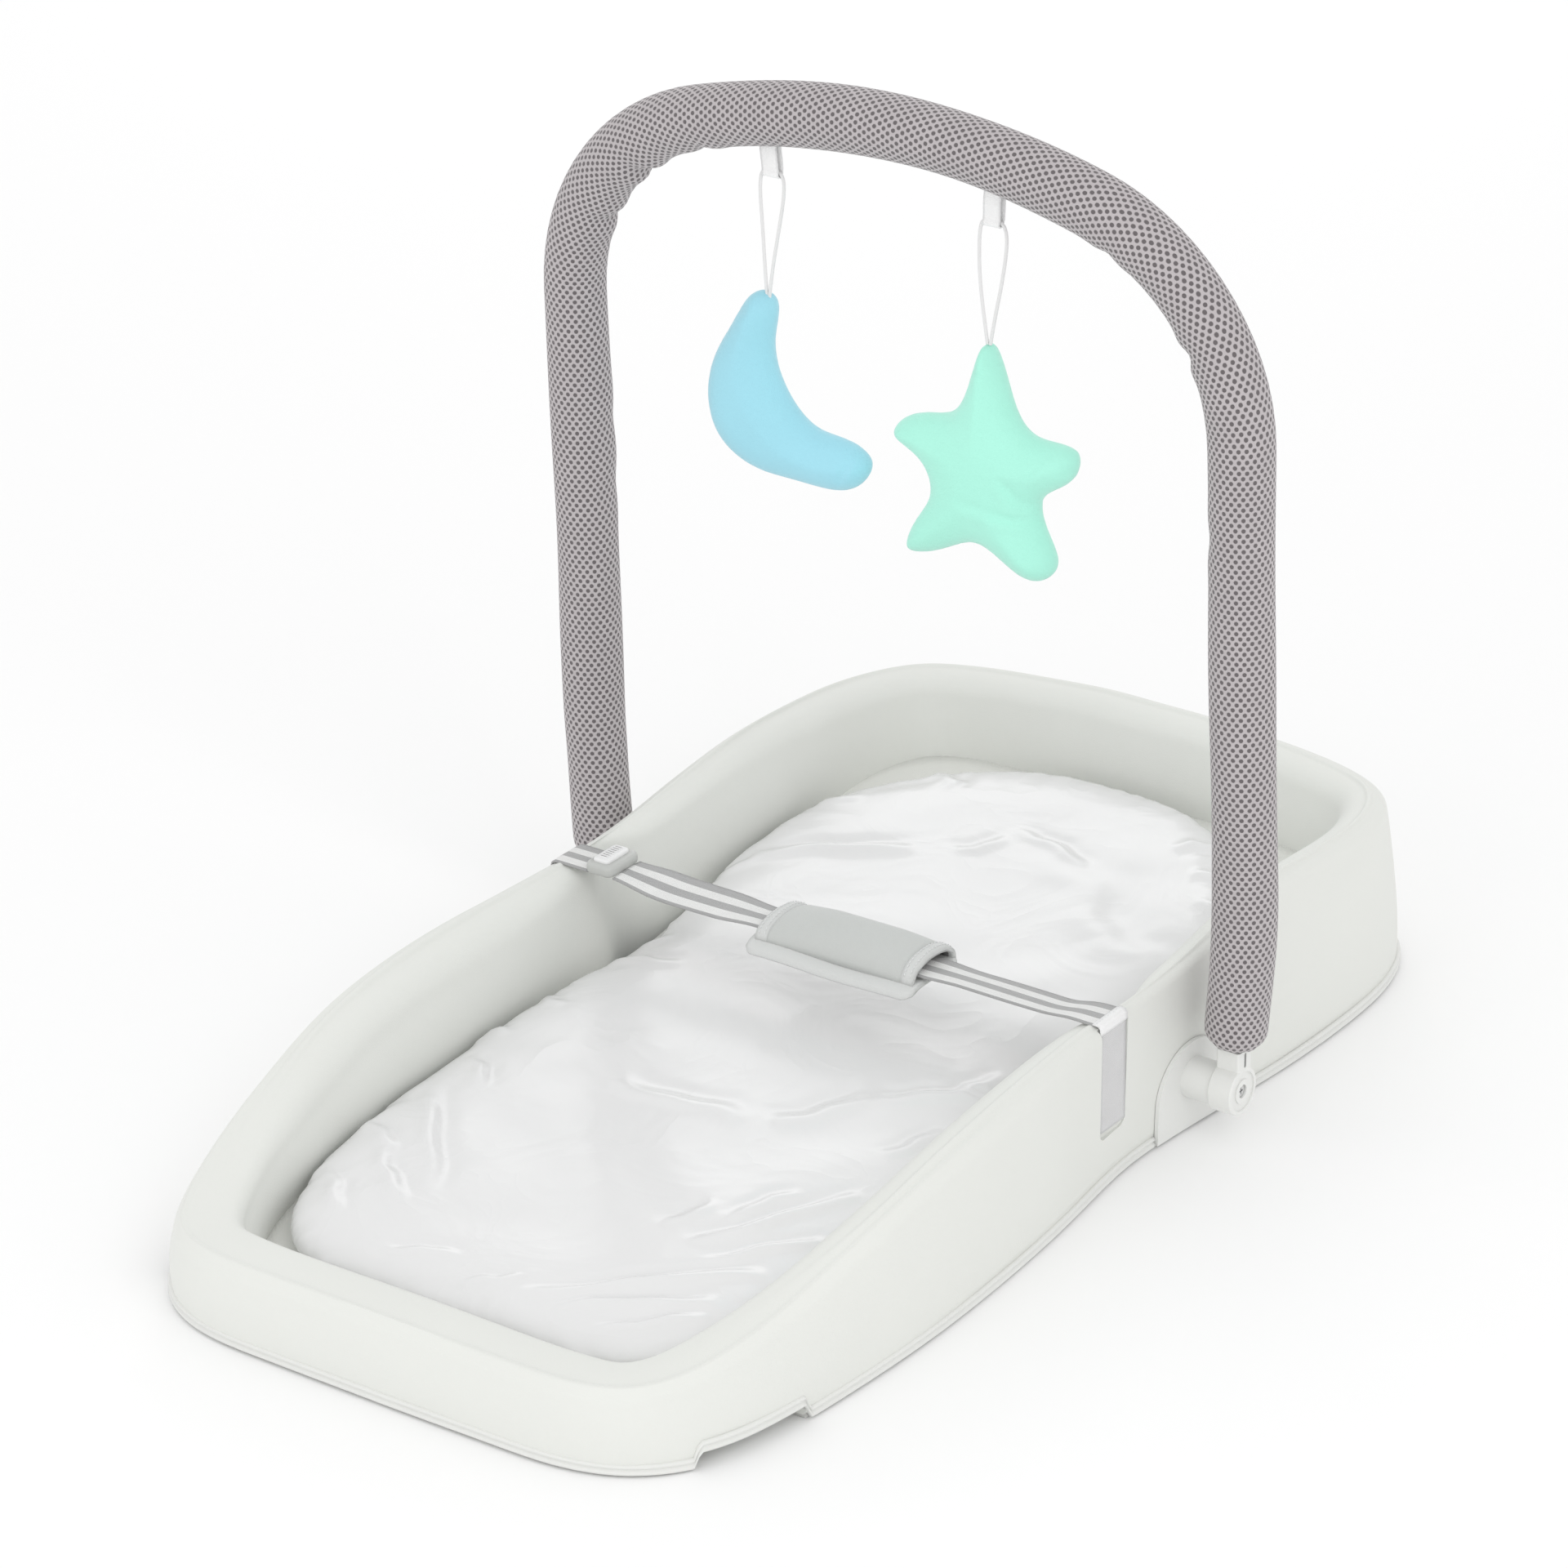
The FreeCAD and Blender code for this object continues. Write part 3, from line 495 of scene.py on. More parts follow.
EFFECTS = {"grain": make_cloth_grain(), "drift": make_tone_drift(), "ripple": make_sheet_ripple(),
           "holes": make_hole_rows(), "ribs": make_rib_weave()}


# --- materials ---------------------------------------------------------------------------------
def use_effect(tree, effect_name, **inputs):
    """Output of one of the shared effects, placed in a material with its own values."""
    node = tree.nodes.new("ShaderNodeGroup")
    node.node_tree = EFFECTS[effect_name]
    for label, value in inputs.items():
        feed(tree, value, node.inputs[label])
    return node.outputs[0]


def finish(name, **settings):
    """Material with a Principled surface whose steady values are set straight on its sockets."""
    material = bpy.data.materials.new(name)
    material.use_nodes = True
    tree = material.node_tree
    shader = tree.nodes["Principled BSDF"]
    for label, value in settings.items():
        shader.inputs[label.replace("_", " ")].default_value = value
    return material, tree, shader


def bump(tree, shader, height, strength, distance):
    """Fine relief of a surface from a height; distance is its depth in metres."""
    node = add(tree, "Bump", Height=height, Strength=strength, Distance=distance)
    tree.links.new(node.outputs[0], shader.inputs["Normal"])


def tint(tree, shader, colour, **drift):
    """Colour a surface, with a slow drift over it."""
    tree.links.new(use_effect(tree, "drift", Colour=colour, **drift), shader.inputs["Base Color"])


def cloth(name, colour, roughness=0.7, grain=900.0, depth=0.0003, drift=0.04, sheen=0.2):
    material, tree, shader = finish(name, Roughness=roughness, Sheen_Weight=sheen, Sheen_Roughness=0.4)
    tint(tree, shader, (*colour, 1), Drift=drift)
    bump(tree, shader, use_effect(tree, "grain", Scale=grain, Waviness=0.3), 0.5, depth)
    return material


def plastic(name, colour, roughness=0.35, texture=2500.0):
    material, tree, shader = finish(name, Roughness=roughness, Coat_Weight=0.15, Coat_Roughness=0.3)
    tint(tree, shader, (*colour, 1), Drift=0.025, Scale=30.0)
    bump(tree, shader, use_effect(tree, "grain", Scale=texture, Waviness=0.0), 0.15, 0.0002)
    return material


def vinyl():
    material, tree, shader = finish("glossy vinyl", Roughness=0.27, Coat_Weight=0.3, Coat_Roughness=0.17)
    tint(tree, shader, (0.785, 0.785, 0.785, 1), Drift=0.02)
    bump(tree, shader, use_effect(tree, "ripple", Scale=14.0, Sharpness=2.0), 0.14, 0.004)
    return material


def mesh_fabric():
    material, tree, shader = finish("spacer mesh", Roughness=0.75, Sheen_Weight=0.25)
    holes = use_effect(tree, "holes", Hole=0.30, Softness=0.09)
    cloth_colour = use_effect(tree, "drift", Colour=(0.485, 0.45, 0.46, 1), Drift=0.06, Scale=60.0)
    mixed = add(tree, "Mix", data_type="RGBA", i0=holes, i6=cloth_colour, i7=(0.125, 0.11, 0.115, 1))
    tree.links.new(mixed.outputs[2], shader.inputs["Base Color"])
    fibres = use_effect(tree, "grain", Scale=1500.0, Waviness=0.1)
    height = math_node(tree, "SUBTRACT", math_node(tree, "MULTIPLY", fibres, 0.3), holes)
    bump(tree, shader, height, 0.8, 0.0006)
    return material


def striped_webbing():
    material, tree, shader = finish("striped webbing", Roughness=0.65, Sheen_Weight=0.15)
    place = tree.nodes.new("ShaderNodeUVMap").outputs[0]
    across = add(tree, "SeparateXYZ", Vector=place).outputs[0]
    ramp = add(tree, "ValToRGB", Fac=across)
    ramp.color_ramp.interpolation = "CONSTANT"
    white, grey = (0.82, 0.82, 0.81, 1), (0.42, 0.42, 0.42, 1)
    stops = ramp.color_ramp.elements
    stops[0].color = grey
    stops[1].position = 0.06
    stops[1].color = white
    for position, colour in ((0.30, grey), (0.53, white), (0.76, grey)):
        stops.new(position).color = colour
    tint(tree, shader, ramp.outputs[0], Drift=0.05, Scale=80.0)
    bump(tree, shader, use_effect(tree, "ribs", Pitch=1.1), 0.5, 0.0002)
    return material


def woven_tape(name, colour, pitch):
    material, tree, shader = finish(name, Roughness=0.6, Sheen_Weight=0.15)
    tint(tree, shader, (*colour, 1), Drift=0.05, Scale=80.0)
    bump(tree, shader, use_effect(tree, "ribs", Pitch=pitch), 0.4, 0.0002)
    return material


def steel():
    material, tree, shader = finish("plain steel", Roughness=0.4, Metallic=1.0)
    tint(tree, shader, (0.78, 0.78, 0.78, 1), Drift=0.08, Scale=200.0)
    bump(tree, shader, use_effect(tree, "grain", Scale=3000.0, Waviness=0.0), 0.1, 0.0001)
    return material


FINISH = {
    "cover": cloth("padded cover cloth", (0.775, 0.785, 0.75), roughness=0.55, grain=1400.0, depth=0.00015,
                   drift=0.02, sheen=0.1),
    "piping": cloth("hem piping", (0.78, 0.785, 0.76), roughness=0.5, grain=1600.0, depth=0.0002, drift=0.02),
    "lining": cloth("floor lining", (0.78, 0.785, 0.75), roughness=0.6, grain=1200.0, drift=0.03),
    "vinyl": vinyl(),
    "mesh": mesh_fabric(),
    "stripes": striped_webbing(),
    # Plain unstriped webbing in the wall windows; its grey colour is painted shade of the window recess.
    "plain tape painted shade": woven_tape("plain webbing painted shade", (0.66, 0.66, 0.665), 1.1),
    "ribbon": woven_tape("white ribbon", (0.93, 0.93, 0.93), 0.7),
    "cord": cloth("white cord", (0.78, 0.78, 0.78), grain=2500.0, depth=0.0002),
    "pad": cloth("belly pad knit", (0.575, 0.59, 0.575), roughness=0.85, grain=1800.0, drift=0.03, sheen=0.4),
    "pad edge": cloth("belly pad binding", (0.66, 0.67, 0.66), roughness=0.75, grain=1800.0, drift=0.03),
    # Near-black sheet inside the belly pad's opening: painted shade of the tunnel under the pad, not a real
    # lining.
    "pad painted shade": cloth("belly pad painted shade", (0.16, 0.16, 0.16), roughness=0.9, grain=1800.0),
    "thread": cloth("sewing thread", (0.82, 0.83, 0.83), roughness=0.6, grain=4000.0),
    "blue": cloth("blue plush knit", (0.36, 0.72, 0.84), roughness=0.85, grain=1500.0, depth=0.0004,
                  drift=0.05, sheen=0.5),
    "mint": cloth("mint plush knit", (0.43, 0.90, 0.745), roughness=0.85, grain=1500.0, depth=0.0004,
                  drift=0.05, sheen=0.5),
    "hub": plastic("satin white plastic", (0.80, 0.805, 0.785)),
    "buckle": plastic("light grey plastic", (0.53, 0.54, 0.52)),
    "buckle panel": plastic("white ribbed plastic", (0.84, 0.84, 0.84), roughness=0.4),
    "button": plastic("dark grey plastic", (0.22, 0.22, 0.22), roughness=0.5),
    "board": plastic("stiff board", (0.62, 0.62, 0.60), roughness=0.7, texture=600.0),
    "steel": steel(),
}


def paint(piece, finish_name):
    """Give a piece its one finish."""
    piece.data.materials.clear()
    piece.data.materials.append(FINISH[finish_name])


for cord in cords:
    paint(cord, "cord")


# --- tub cover -----------------------------------------------------------------------------------
# A section runs up the outer wall, over the rim and down the inner wall.
STATIONS = 300
WALL_POINTS = 9
WALL_BULGE = 2.0
COVER_LOW = 1.5
INNER_LOW = 12.0
# The welt is a raised line along the outer edge of the rim; its place counts points after the wall's.
WELT_PLACE, WELT_WIDTH = 4.2, 0.6
WELT_OUT, WELT_UP = 0.7, 2.8
# The valley beside the strap grows over some points of the section and slants along the seat.
VALLEY_START, VALLEY_POINTS = 19, 8
VALLEY_DEPTH, VALLEY_DROP, VALLEY_SLANT = 10.0, 3.0, 16.0
LONG_SIDE_X = 100


def tub_lines():
    """Smooth hem, crest, inner crest and floor lines and rim height, at matching stations around the tub."""
    hem, crest, floor = whole_loop(HEM), whole_loop(CREST), whole_loop(FLOOR)
    width = np.array(RIM_WIDTH + RIM_WIDTH[-2:0:-1], float)[:, None]
    height = np.array(RIM_HEIGHT + RIM_HEIGHT[-2:0:-1], float)[:, None]
    inner = crest - outward_of(crest) * width
    lines = [smooth_closed(line, hem, STATIONS) for line in (hem, crest, inner, floor)]
    heights = smooth_closed(np.hstack([height, height]), hem, STATIONS)[:, 0]
    return lines, heights


def strap_valley(y):
    """How deep the padding is pulled in beside the waist strap, rounder at the foot side."""
    return blend_line(y, (-400, 0), (-6, 0), (8, 0.1), (22, 0.75), (32, 1.0), (46, 0.45), (58, 0.1), (70, 0),
                      (400, 0))


def tub_cover():
    """Cloth over the foam rim: a section at each station, with its roundings set along the seat's length."""
    (hem, crest, inner, floor), rim = tub_lines()
    y = crest[:, 1]
    welt = blend_line(y, (-400, 1.0), (-190, 1.0), (-40, 0.0), (400, 0.0))
    outer_r = blend_line(y, (-400, 7), (-250, 8), (-60, 8), (30, 5), (110, 5), (200, 8), (400, 9))
    inner_r = blend_line(y, (-400, 8), (-330, 9), (-200, 19), (-60, 18), (22, 11), (110, 12), (250, 16),
                         (400, 14))
    crown = blend_line(y, (-400, 0.6), (-280, 1.0), (-120, 3.0), (0, 1.5), (60, 1.0), (180, 2.5), (400, 1.5))
    belly = blend_line(y, (-400, 2.0), (-300, 3.0), (-150, 7.0), (20, 1.0), (60, 1.0), (200, 5.0), (400, 3.0))
    bulging = blend_line(np.abs(y - FLAT_Y), (0, 0), (75, 0), (120, 1), (800, 1))
    rows = []
    for i in range(STATIONS):
        out = crest[i] - inner[i]
        width = np.linalg.norm(out)
        out /= width
        top = rim[i]
        section = []
        for v in np.linspace(0, 1, WALL_POINTS + 1)[:-1]:
            base = hem[i] * (1 - v) + crest[i] * v + out * WALL_BULGE * bulging[i] * 4 * v * (1 - v)
            section.append((base, COVER_LOW + (top - outer_r[i] - COVER_LOW) * v))
        for angle in np.linspace(0, math.pi / 2, 6):
            base = crest[i] - out * outer_r[i] * (1 - math.cos(angle))
            section.append((base, top - outer_r[i] * (1 - math.sin(angle))))
        for u in np.linspace(0, 1, 9)[1:-1]:
            base = crest[i] - out * (outer_r[i] + u * (width - outer_r[i] - inner_r[i]))
            section.append((base, top + crown[i] * 4 * u * (1 - u)))
        for angle in np.linspace(math.pi / 2, 0, 7):
            base = inner[i] + out * inner_r[i] * (1 - math.cos(angle))
            section.append((base, top - inner_r[i] * (1 - math.sin(angle))))
        for v in np.linspace(0, 1, 9)[1:]:
            base = inner[i] * (1 - v) + floor[i] * v - out * belly[i] * math.sin(math.pi * v) ** 0.8
            section.append((base, (top - inner_r[i]) * (1 - v) + INNER_LOW * v))
        section.append((floor[i], 6.0))
        section.append((floor[i] * 0.3 + hem[i] * 0.7, 3.0))
        rows.append([(*base, z) for base, z in section])
        on_long_side = abs(crest[i][0]) > LONG_SIDE_X
        for k in range(VALLEY_START, len(section) - 2):
            share = min(1.0, (k - VALLEY_START) / VALLEY_POINTS)
            share = share * share * (3 - 2 * share)
            depth = share * float(strap_valley(y[i] - VALLEY_SLANT * share)) if on_long_side else 0.0
            px, py, pz = rows[i][k]
            rows[i][k] = (px + out[0] * VALLEY_DEPTH * depth, py + out[1] * VALLEY_DEPTH * depth,
                          pz - VALLEY_DROP * depth)
        for k in range(WALL_POINTS + 1, WALL_POINTS + 7):
            ridge = math.exp(-((k - WALL_POINTS - WELT_PLACE) / WELT_WIDTH) ** 2)
            px, py, pz = rows[i][k]
            rows[i][k] = (px + out[0] * WELT_OUT * welt[i] * ridge, py + out[1] * WELT_OUT * welt[i] * ridge,
                          pz + WELT_UP * welt[i] * ridge)
    cover = sheet_mesh("tub_cover_cloth", rows, wrap_rows=True, wrap_columns=True)
    subdivide(cover)
    soften(cover)
    carve(cover)
    paint(cover, "cover")
    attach(cover, "root")
    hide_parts("tub_cover", "bolster_foot", "bolster_head", "bolster_left", "bolster_right")


def soften(cover):
    """Slow unevenness of foam under cloth, and slack vertical folds low on the long outer walls."""
    points, normals = get_points(cover), get_normals(cover)
    x, y, z = points.T
    calm = blend_line(np.abs(y - FLAT_Y), (0, 0), (75, 0), (130, 1), (800, 1))
    slow = np.sin(x / 31 + 1.3) * np.sin(y / 43 + z / 29)
    slow += 0.6 * np.sin(y / 19 + x / 23 + 2.0) * np.sin(z / 13)
    wall = np.clip(1 - np.abs(normals[:, 2]) * 1.5, 0, 1) * np.clip((z - 8) / 20, 0, 1)
    folds = np.sin(y / 14.0 + 2.2 * np.sin(y / 37.0) + z / 26.0) * wall
    points += normals * (calm * (0.35 * slow + 0.25 * folds))[:, None]
    set_points(cover, points)


def cutter(name, x, y, z, round_bottom=0.0):
    """Box used to carve the cover, with its lower edges rounded when asked."""
    low = z[0] + round_bottom
    side = [(y[0], z[1]), (y[0], low)]
    if round_bottom:
        for angle in np.linspace(0, math.pi / 2, 5)[1:]:
            side.append((y[0] + round_bottom * (1 - math.cos(angle)), low - round_bottom * math.sin(angle)))
        for angle in np.linspace(math.pi / 2, 0, 5)[:-1]:
            side.append((y[1] - round_bottom * (1 - math.cos(angle)), low - round_bottom * math.sin(angle)))
    side += [(y[1], low), (y[1], z[1])]
    rows = [[(depth, a, b) for a, b in side] for depth in x]
    return sheet_mesh(name, rows, wrap_columns=True, cap_ends=True)


WINDOW_X, WINDOW_Z = (182.0, 205.0), (30.0, 120.0)
WINDOW_Y = (STRAP_Y - 13.8, STRAP_Y + 13.8)
WINDOW_ROUND = 5.0
NOTCH_X, NOTCH_Y, NOTCH_Z = (150.0, 215.0), (-341.0, -273.0), (-5.0, 9.0)


def carve(cover):
    """Cut the strap windows and the hem notches."""
    tools = []
    for side in (-1, 1):
        tools.append(cutter("window", sorted(side * x for x in WINDOW_X), WINDOW_Y, WINDOW_Z, WINDOW_ROUND))
        tools.append(cutter("notch", sorted(side * x for x in NOTCH_X), NOTCH_Y, NOTCH_Z))
    for tool in tools:
        modifier = cover.modifiers.new("carve", "BOOLEAN")
        modifier.operation = "DIFFERENCE"
        modifier.object = tool
        modifier.solver = "EXACT"
    settle(cover)
    for tool in tools:
        bpy.data.objects.remove(tool)
    cover.data.set_sharp_from_angle(angle=math.radians(50))


# --- hem ----------------------------------------------------------------------------------------
HEM_SECTION = [(-0.8, 1.4), (0.8, 1.2), (2.0, 1.6), (2.4, 2.5), (2.0, 3.4), (1.1, 4.0), (1.1, 4.8),
               (1.9, 5.3), (2.2, 6.1), (1.8, 6.9), (0.8, 7.3), (-0.8, 7.2)]
HEM_STATIONS = 900
PLATE_Y = (66.5, 130.5)
NOTCH_LIFT = 8.6


def hem_piping():
    """Bound edge with two corded lines, which steps up over each foot notch and stops at the hub plates."""
    line = smooth_closed(whole_loop(HEM), whole_loop(HEM), HEM_STATIONS)
    outward = outward_of(line)
    x, y = line.T
    in_notch = blend_line(y, (-400, 0), (-343, 0), (-339.5, 1), (-274.5, 1), (-271, 0), (400, 0))
    in_notch *= np.abs(x) > 148
    rows = []
    for i in range(HEM_STATIONS):
        lift = NOTCH_LIFT * in_notch[i] + 0.25 * math.sin(i / 17.0)
        rows.append([(*(line[i] + outward[i] * offset), z + lift) for offset, z in HEM_SECTION])
    half = HEM_STATIONS // 2
    foot = [i for i in (*range(half + 1, HEM_STATIONS), *range(half + 1)) if y[i] <= PLATE_Y[0]]
    head = [i for i in range(HEM_STATIONS) if y[i] >= PLATE_Y[1]]
    for name, picked in (("hem_piping_foot", foot), ("hem_piping_head", head)):
        piece = sheet_mesh(name, [rows[i] for i in picked], wrap_columns=True, cap_ends=True)
        paint(piece, "piping")
        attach(piece, "root")
        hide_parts("hem_binding")


# --- floor lining and mattress --------------------------------------------------------------------
LINING_TOP, LINING_THICK = 12.2, 1.2


def rise(y, foot_height):
    """Height of the sloping floor, or of a layer over it, at a place along the seat."""
    return foot_height + SLOPE * (y + 340)


def floor_lining():
    """Cloth floor between the walls, under the mattress."""
    outline = smooth_closed(whole_loop(FLOOR), whole_loop(FLOOR), 160)
    rings = []
    for share in (1.02, 0.97, 0.9, 0.75, 0.5, 0.25, 0.02):
        ring = []
        for x, y in outline:
            unevenness = 0.5 * math.sin(x / 15) * math.sin(y / 21)
            ring.append((x * share, y * share, rise(y * share, LINING_TOP) + unevenness))
        rings.append(ring)
    under = [[(x, y, z - LINING_THICK) for x, y, z in ring] for ring in reversed(rings)]
    lining = sheet_mesh("floor_lining_cloth", rings + under, wrap_rows=True, wrap_columns=True)
    paint(lining, "lining")
    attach(lining, "root")
    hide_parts("floor_lining", "incline_wedge")


# Each fold runs from one plan point to another and has a height and a width.
MATTRESS_FOLDS = [
    ((-136, 136), (-56, 188), 3.4, 6.0), ((-33, 194), (-13, 223), 1.6, 5.0),
    ((-18, 236), (42, 217), 2.0, 5.0), ((1, 229), (94, 154), 1.7, 15.0), ((61, 169), (134, 137), 1.3, 12.0),
    ((-51, -112), (34, -108), 1.8, 7.0), ((49, -105), (82, -54), 2.0, 7.0),
    ((82, -54), (133, -20), 2.2, 6.0), ((81, -221), (130, -135), 2.8, 4.5),
    ((95, -232), (139, -178), 2.2, 4.0), ((31, -304), (130, -222), 3.0, 5.0),
    ((53, -304), (122, -256), 2.4, 4.5), ((81, -311), (128, -269), 2.0, 4.0),
    ((82, -191), (100, -150), 1.6, 4.0), ((119, -99), (132, -60), 1.8, 4.5),
    ((60, -214), (68, -180), 1.4, 4.0), ((116, -29), (126, 6), 1.8, 5.0),
    ((-139, -158), (-70, -252), 1.8, 5.0), ((-137, -125), (-110, -152), 1.8, 4.0),
    ((-120, -228), (-79, -267), 2.0, 4.5), ((-56, -306), (-16, -290), 1.6, 4.0),
    ((-3, -310), (24, -290), 1.6, 4.0), ((-136, -255), (-99, -290), 1.6, 4.0),
    ((-150, -205), (-112, -228), 1.8, 4.0), ((-146, 15), (-118, 36), 1.8, 4.0),
    ((-142, 0), (-95, 10), 1.8, 4.5), ((-146, 108), (-128, 135), 1.6, 4.5),
    ((-154, -47), (-127, -59), 1.6, 4.0), ((-141, 208), (-120, 228), 1.6, 5.0),
    ((-157, -90), (-135, -98), 1.5, 3.5), ((98, 288), (70, 262), 2.0, 5.0),
    ((128, 262), (96, 240), 2.0, 5.0), ((146, 225), (116, 214), 1.8, 5.0),
    ((-100, 282), (-78, 258), 1.6, 5.0),
]
FOLD_GAIN = 1.15
SEAM_INSET = 4.0
MATTRESS_BASE, MATTRESS_MIDDLE, MATTRESS_TOP = 15.0, 22.0, 30.0


def mattress():
    """Foam slab in a glossy vinyl cover that gathers at its seams and folds where it is slack."""
    full = smooth_closed(whole_loop(MATTRESS), whole_loop(MATTRESS), 220)
    inset = full - full / np.linalg.norm(full, axis=1, keepdims=True) * SEAM_INSET
    pad = slab("mattress_vinyl", inset, lambda x, y: rise(y, MATTRESS_BASE),
               lambda x, y: rise(y, MATTRESS_TOP))
    remesh(pad, 5.0)
    round_edges(pad, full)
    inflate(pad, pressure=3.5, cap=3.5)
    subdivide(pad)
    for start, end, height, width in MATTRESS_FOLDS:
        crease(pad, start, end, FOLD_GAIN * height, width)
    gather(pad, full)
    paint(pad, "vinyl")
    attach(pad, "root")
    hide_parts("mattress_cover", "mattress_foam")


def round_edges(pad, outline):
    """Crown the slab and roll its upper edge down to the seam."""
    points = get_points(pad)
    reach = distance_inside(points[:, :2], outline)
    above = points[:, 2] > rise(points[:, 1], MATTRESS_MIDDLE)
    roll = 1 - np.clip(reach / 13.0, 0, 1)
    points[:, 2] -= np.where(above, 1, -0.6) * 5.0 * roll ** 2.2
    points[:, 2] += np.where(above, 2.0 * np.clip(reach / 60.0, 0, 1), 0)
    set_points(pad, points)


def gather(pad, outline):
    """Small puckers that run in from the seam, uneven in size."""
    points = get_points(pad)
    upper = np.clip(get_normals(pad)[:, 2] * 1.5, 0, 1)
    reach = distance_inside(points[:, :2], outline)
    turn = np.arctan2(points[:, 1] * 0.45, points[:, 0])
    pattern = np.sin(turn * 61 + 2.0 * np.sin(turn * 9)) * (0.55 + 0.45 * np.sin(turn * 17 + 1.0))
    fade = np.exp(-(reach / 15.0) ** 2) * np.clip(reach / 5.0, 0, 1)
    points[:, 2] += 0.9 * pattern * fade * upper
    x, y = points[:, 0], points[:, 1]
    slack = np.sin(x / 17 + 1.7 * np.sin(y / 29)) * np.sin(y / 23 + 1.1 * np.sin(x / 31))
    points[:, 2] += 0.5 * slack * upper * np.clip(reach / 20.0, 0, 1)
    set_points(pad, points)


# --- waist strap ----------------------------------------------------------------------------------
STRAP_WIDTH = 26.0
STRAP_THICK = 1.5
STRAP_ENDS_Z, STRAP_MIDDLE_Z = 99.2, 96.6
TAPE_STEP = 2.0


def strap_twist(x):
    """How far the foot-side edge of the long strap stands over its middle."""
    return blend_line(x, (-141, 0), (-112, 2.2), (-72, 2.2), (-42, 0), (66, 0), (95, -1.5), (150, -1.5),
                      (176, 0))


def tape(name, route, width, thick, wave=0.0, twist=None, y=STRAP_Y):
    """Flat webbing along a route of (x, z) points, with its edges slightly rolled."""
    route = walk(route, TAPE_STEP)
    across = np.linspace(-1, 1, 9)
    rows = []
    length = 0.0
    for (x, z), (tx, tz) in zip(route, directions(route)):
        length += TAPE_STEP
        normal = (-tz, tx)
        lean = -float(twist(x)) if twist else 0.0
        ring = []
        for side, order in ((1, across), (-1, across[::-1])):
            for s in order:
                lift = side * thick / 2 * (1 - 0.35 * abs(s) ** 6)
                lift += wave * math.sin(length / 19.0 + 1.4 * s)
                lift += s * lean
                ring.append((x + normal[0] * lift, y + s * width / 2, z + normal[1] * lift))
        rows.append(ring)
    count = len(across)

    def cell_across(j):
        j = j % (2 * count)
        return (j if j < count else 2 * count - 1 - j) / (count - 1)

    cells = (cell_across, lambda i: i * TAPE_STEP)
    return sheet_mesh(name, rows, wrap_columns=True, cap_ends=True, cells=cells)


def corner(points, radius, steps=4):
    """Polyline whose inner corners are rounded."""
    points = [np.array(p, float) for p in points]
    found = [points[0]]
    for before, here, after in zip(points, points[1:], points[2:]):
        back, ahead = before - here, after - here
        reach = min(radius, 0.45 * np.linalg.norm(back), 0.45 * np.linalg.norm(ahead))
        start, end = here + back / np.linalg.norm(back) * reach, here + ahead / np.linalg.norm(ahead) * reach
        for u in np.linspace(0, 1, steps + 1):
            found.append((1 - u) ** 2 * start + 2 * u * (1 - u) * here + u * u * end)
    return found + [points[-1]]


def waist_strap():
    """Striped strap over both walls, with the plain webbing that drops from its ends, coloured grey as
    painted shade of the window recess.
    """
    over, span = STRAP_ENDS_Z, STRAP_MIDDLE_Z
    across = corner([(180.6, over), (165, over), (151, span), (-105, span), (-140.7, over)], 8)
    right = tape("waist_strap_long", across, STRAP_WIDTH, STRAP_THICK, wave=0.25, twist=strap_twist)
    short = corner([(-184.0, over - 7), (-184.0, over), (-158.0, over)], 3.5)
    left = tape("waist_strap_short", short, STRAP_WIDTH, STRAP_THICK)
    for piece, node in ((right, "waist_strap_right"), (left, "waist_strap_left")):
        paint(piece, "stripes")
        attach(piece, "root")
        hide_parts(node)
    for side, name in ((1, "right"), (-1, "left")):
        wall_x = 183.2 * side
        route = corner([(wall_x, 34.0), (wall_x, 92.0), (wall_x, over - 0.2), (178.0 * side, over + 0.1)], 3)
        # The drop's grey finish is painted shade of the recess in the wall; the webbing itself is plain and
        # unstriped.
        drop = tape("strap_drop_" + name, route, STRAP_WIDTH - 0.8, 1.2, y=STRAP_Y + 0.7)
        paint(drop, "plain tape painted shade")
        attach(drop, "root")
        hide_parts("strap_anchor_" + name)
    route = corner([(184.2, over - 5.0), (184.2, over + 0.9), (179.0, over + 0.9)], 2.5)
    folded = tape("strap_fold_right", route, STRAP_WIDTH + 0.6, 1.0)
    paint(folded, "ribbon")
    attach(folded, "root")
    seam = [(180.6, STRAP_Y - 12, over + 1.5), (180.6, STRAP_Y + 12, over + 1.5)]
    stitches("strap_stitches_right", seam, "root")


THREAD_R = 0.32
THREAD_SIDES = 6
THREAD_STEP = 0.3
STITCH_STEPS, STITCH_PITCH_STEPS = 6, 9


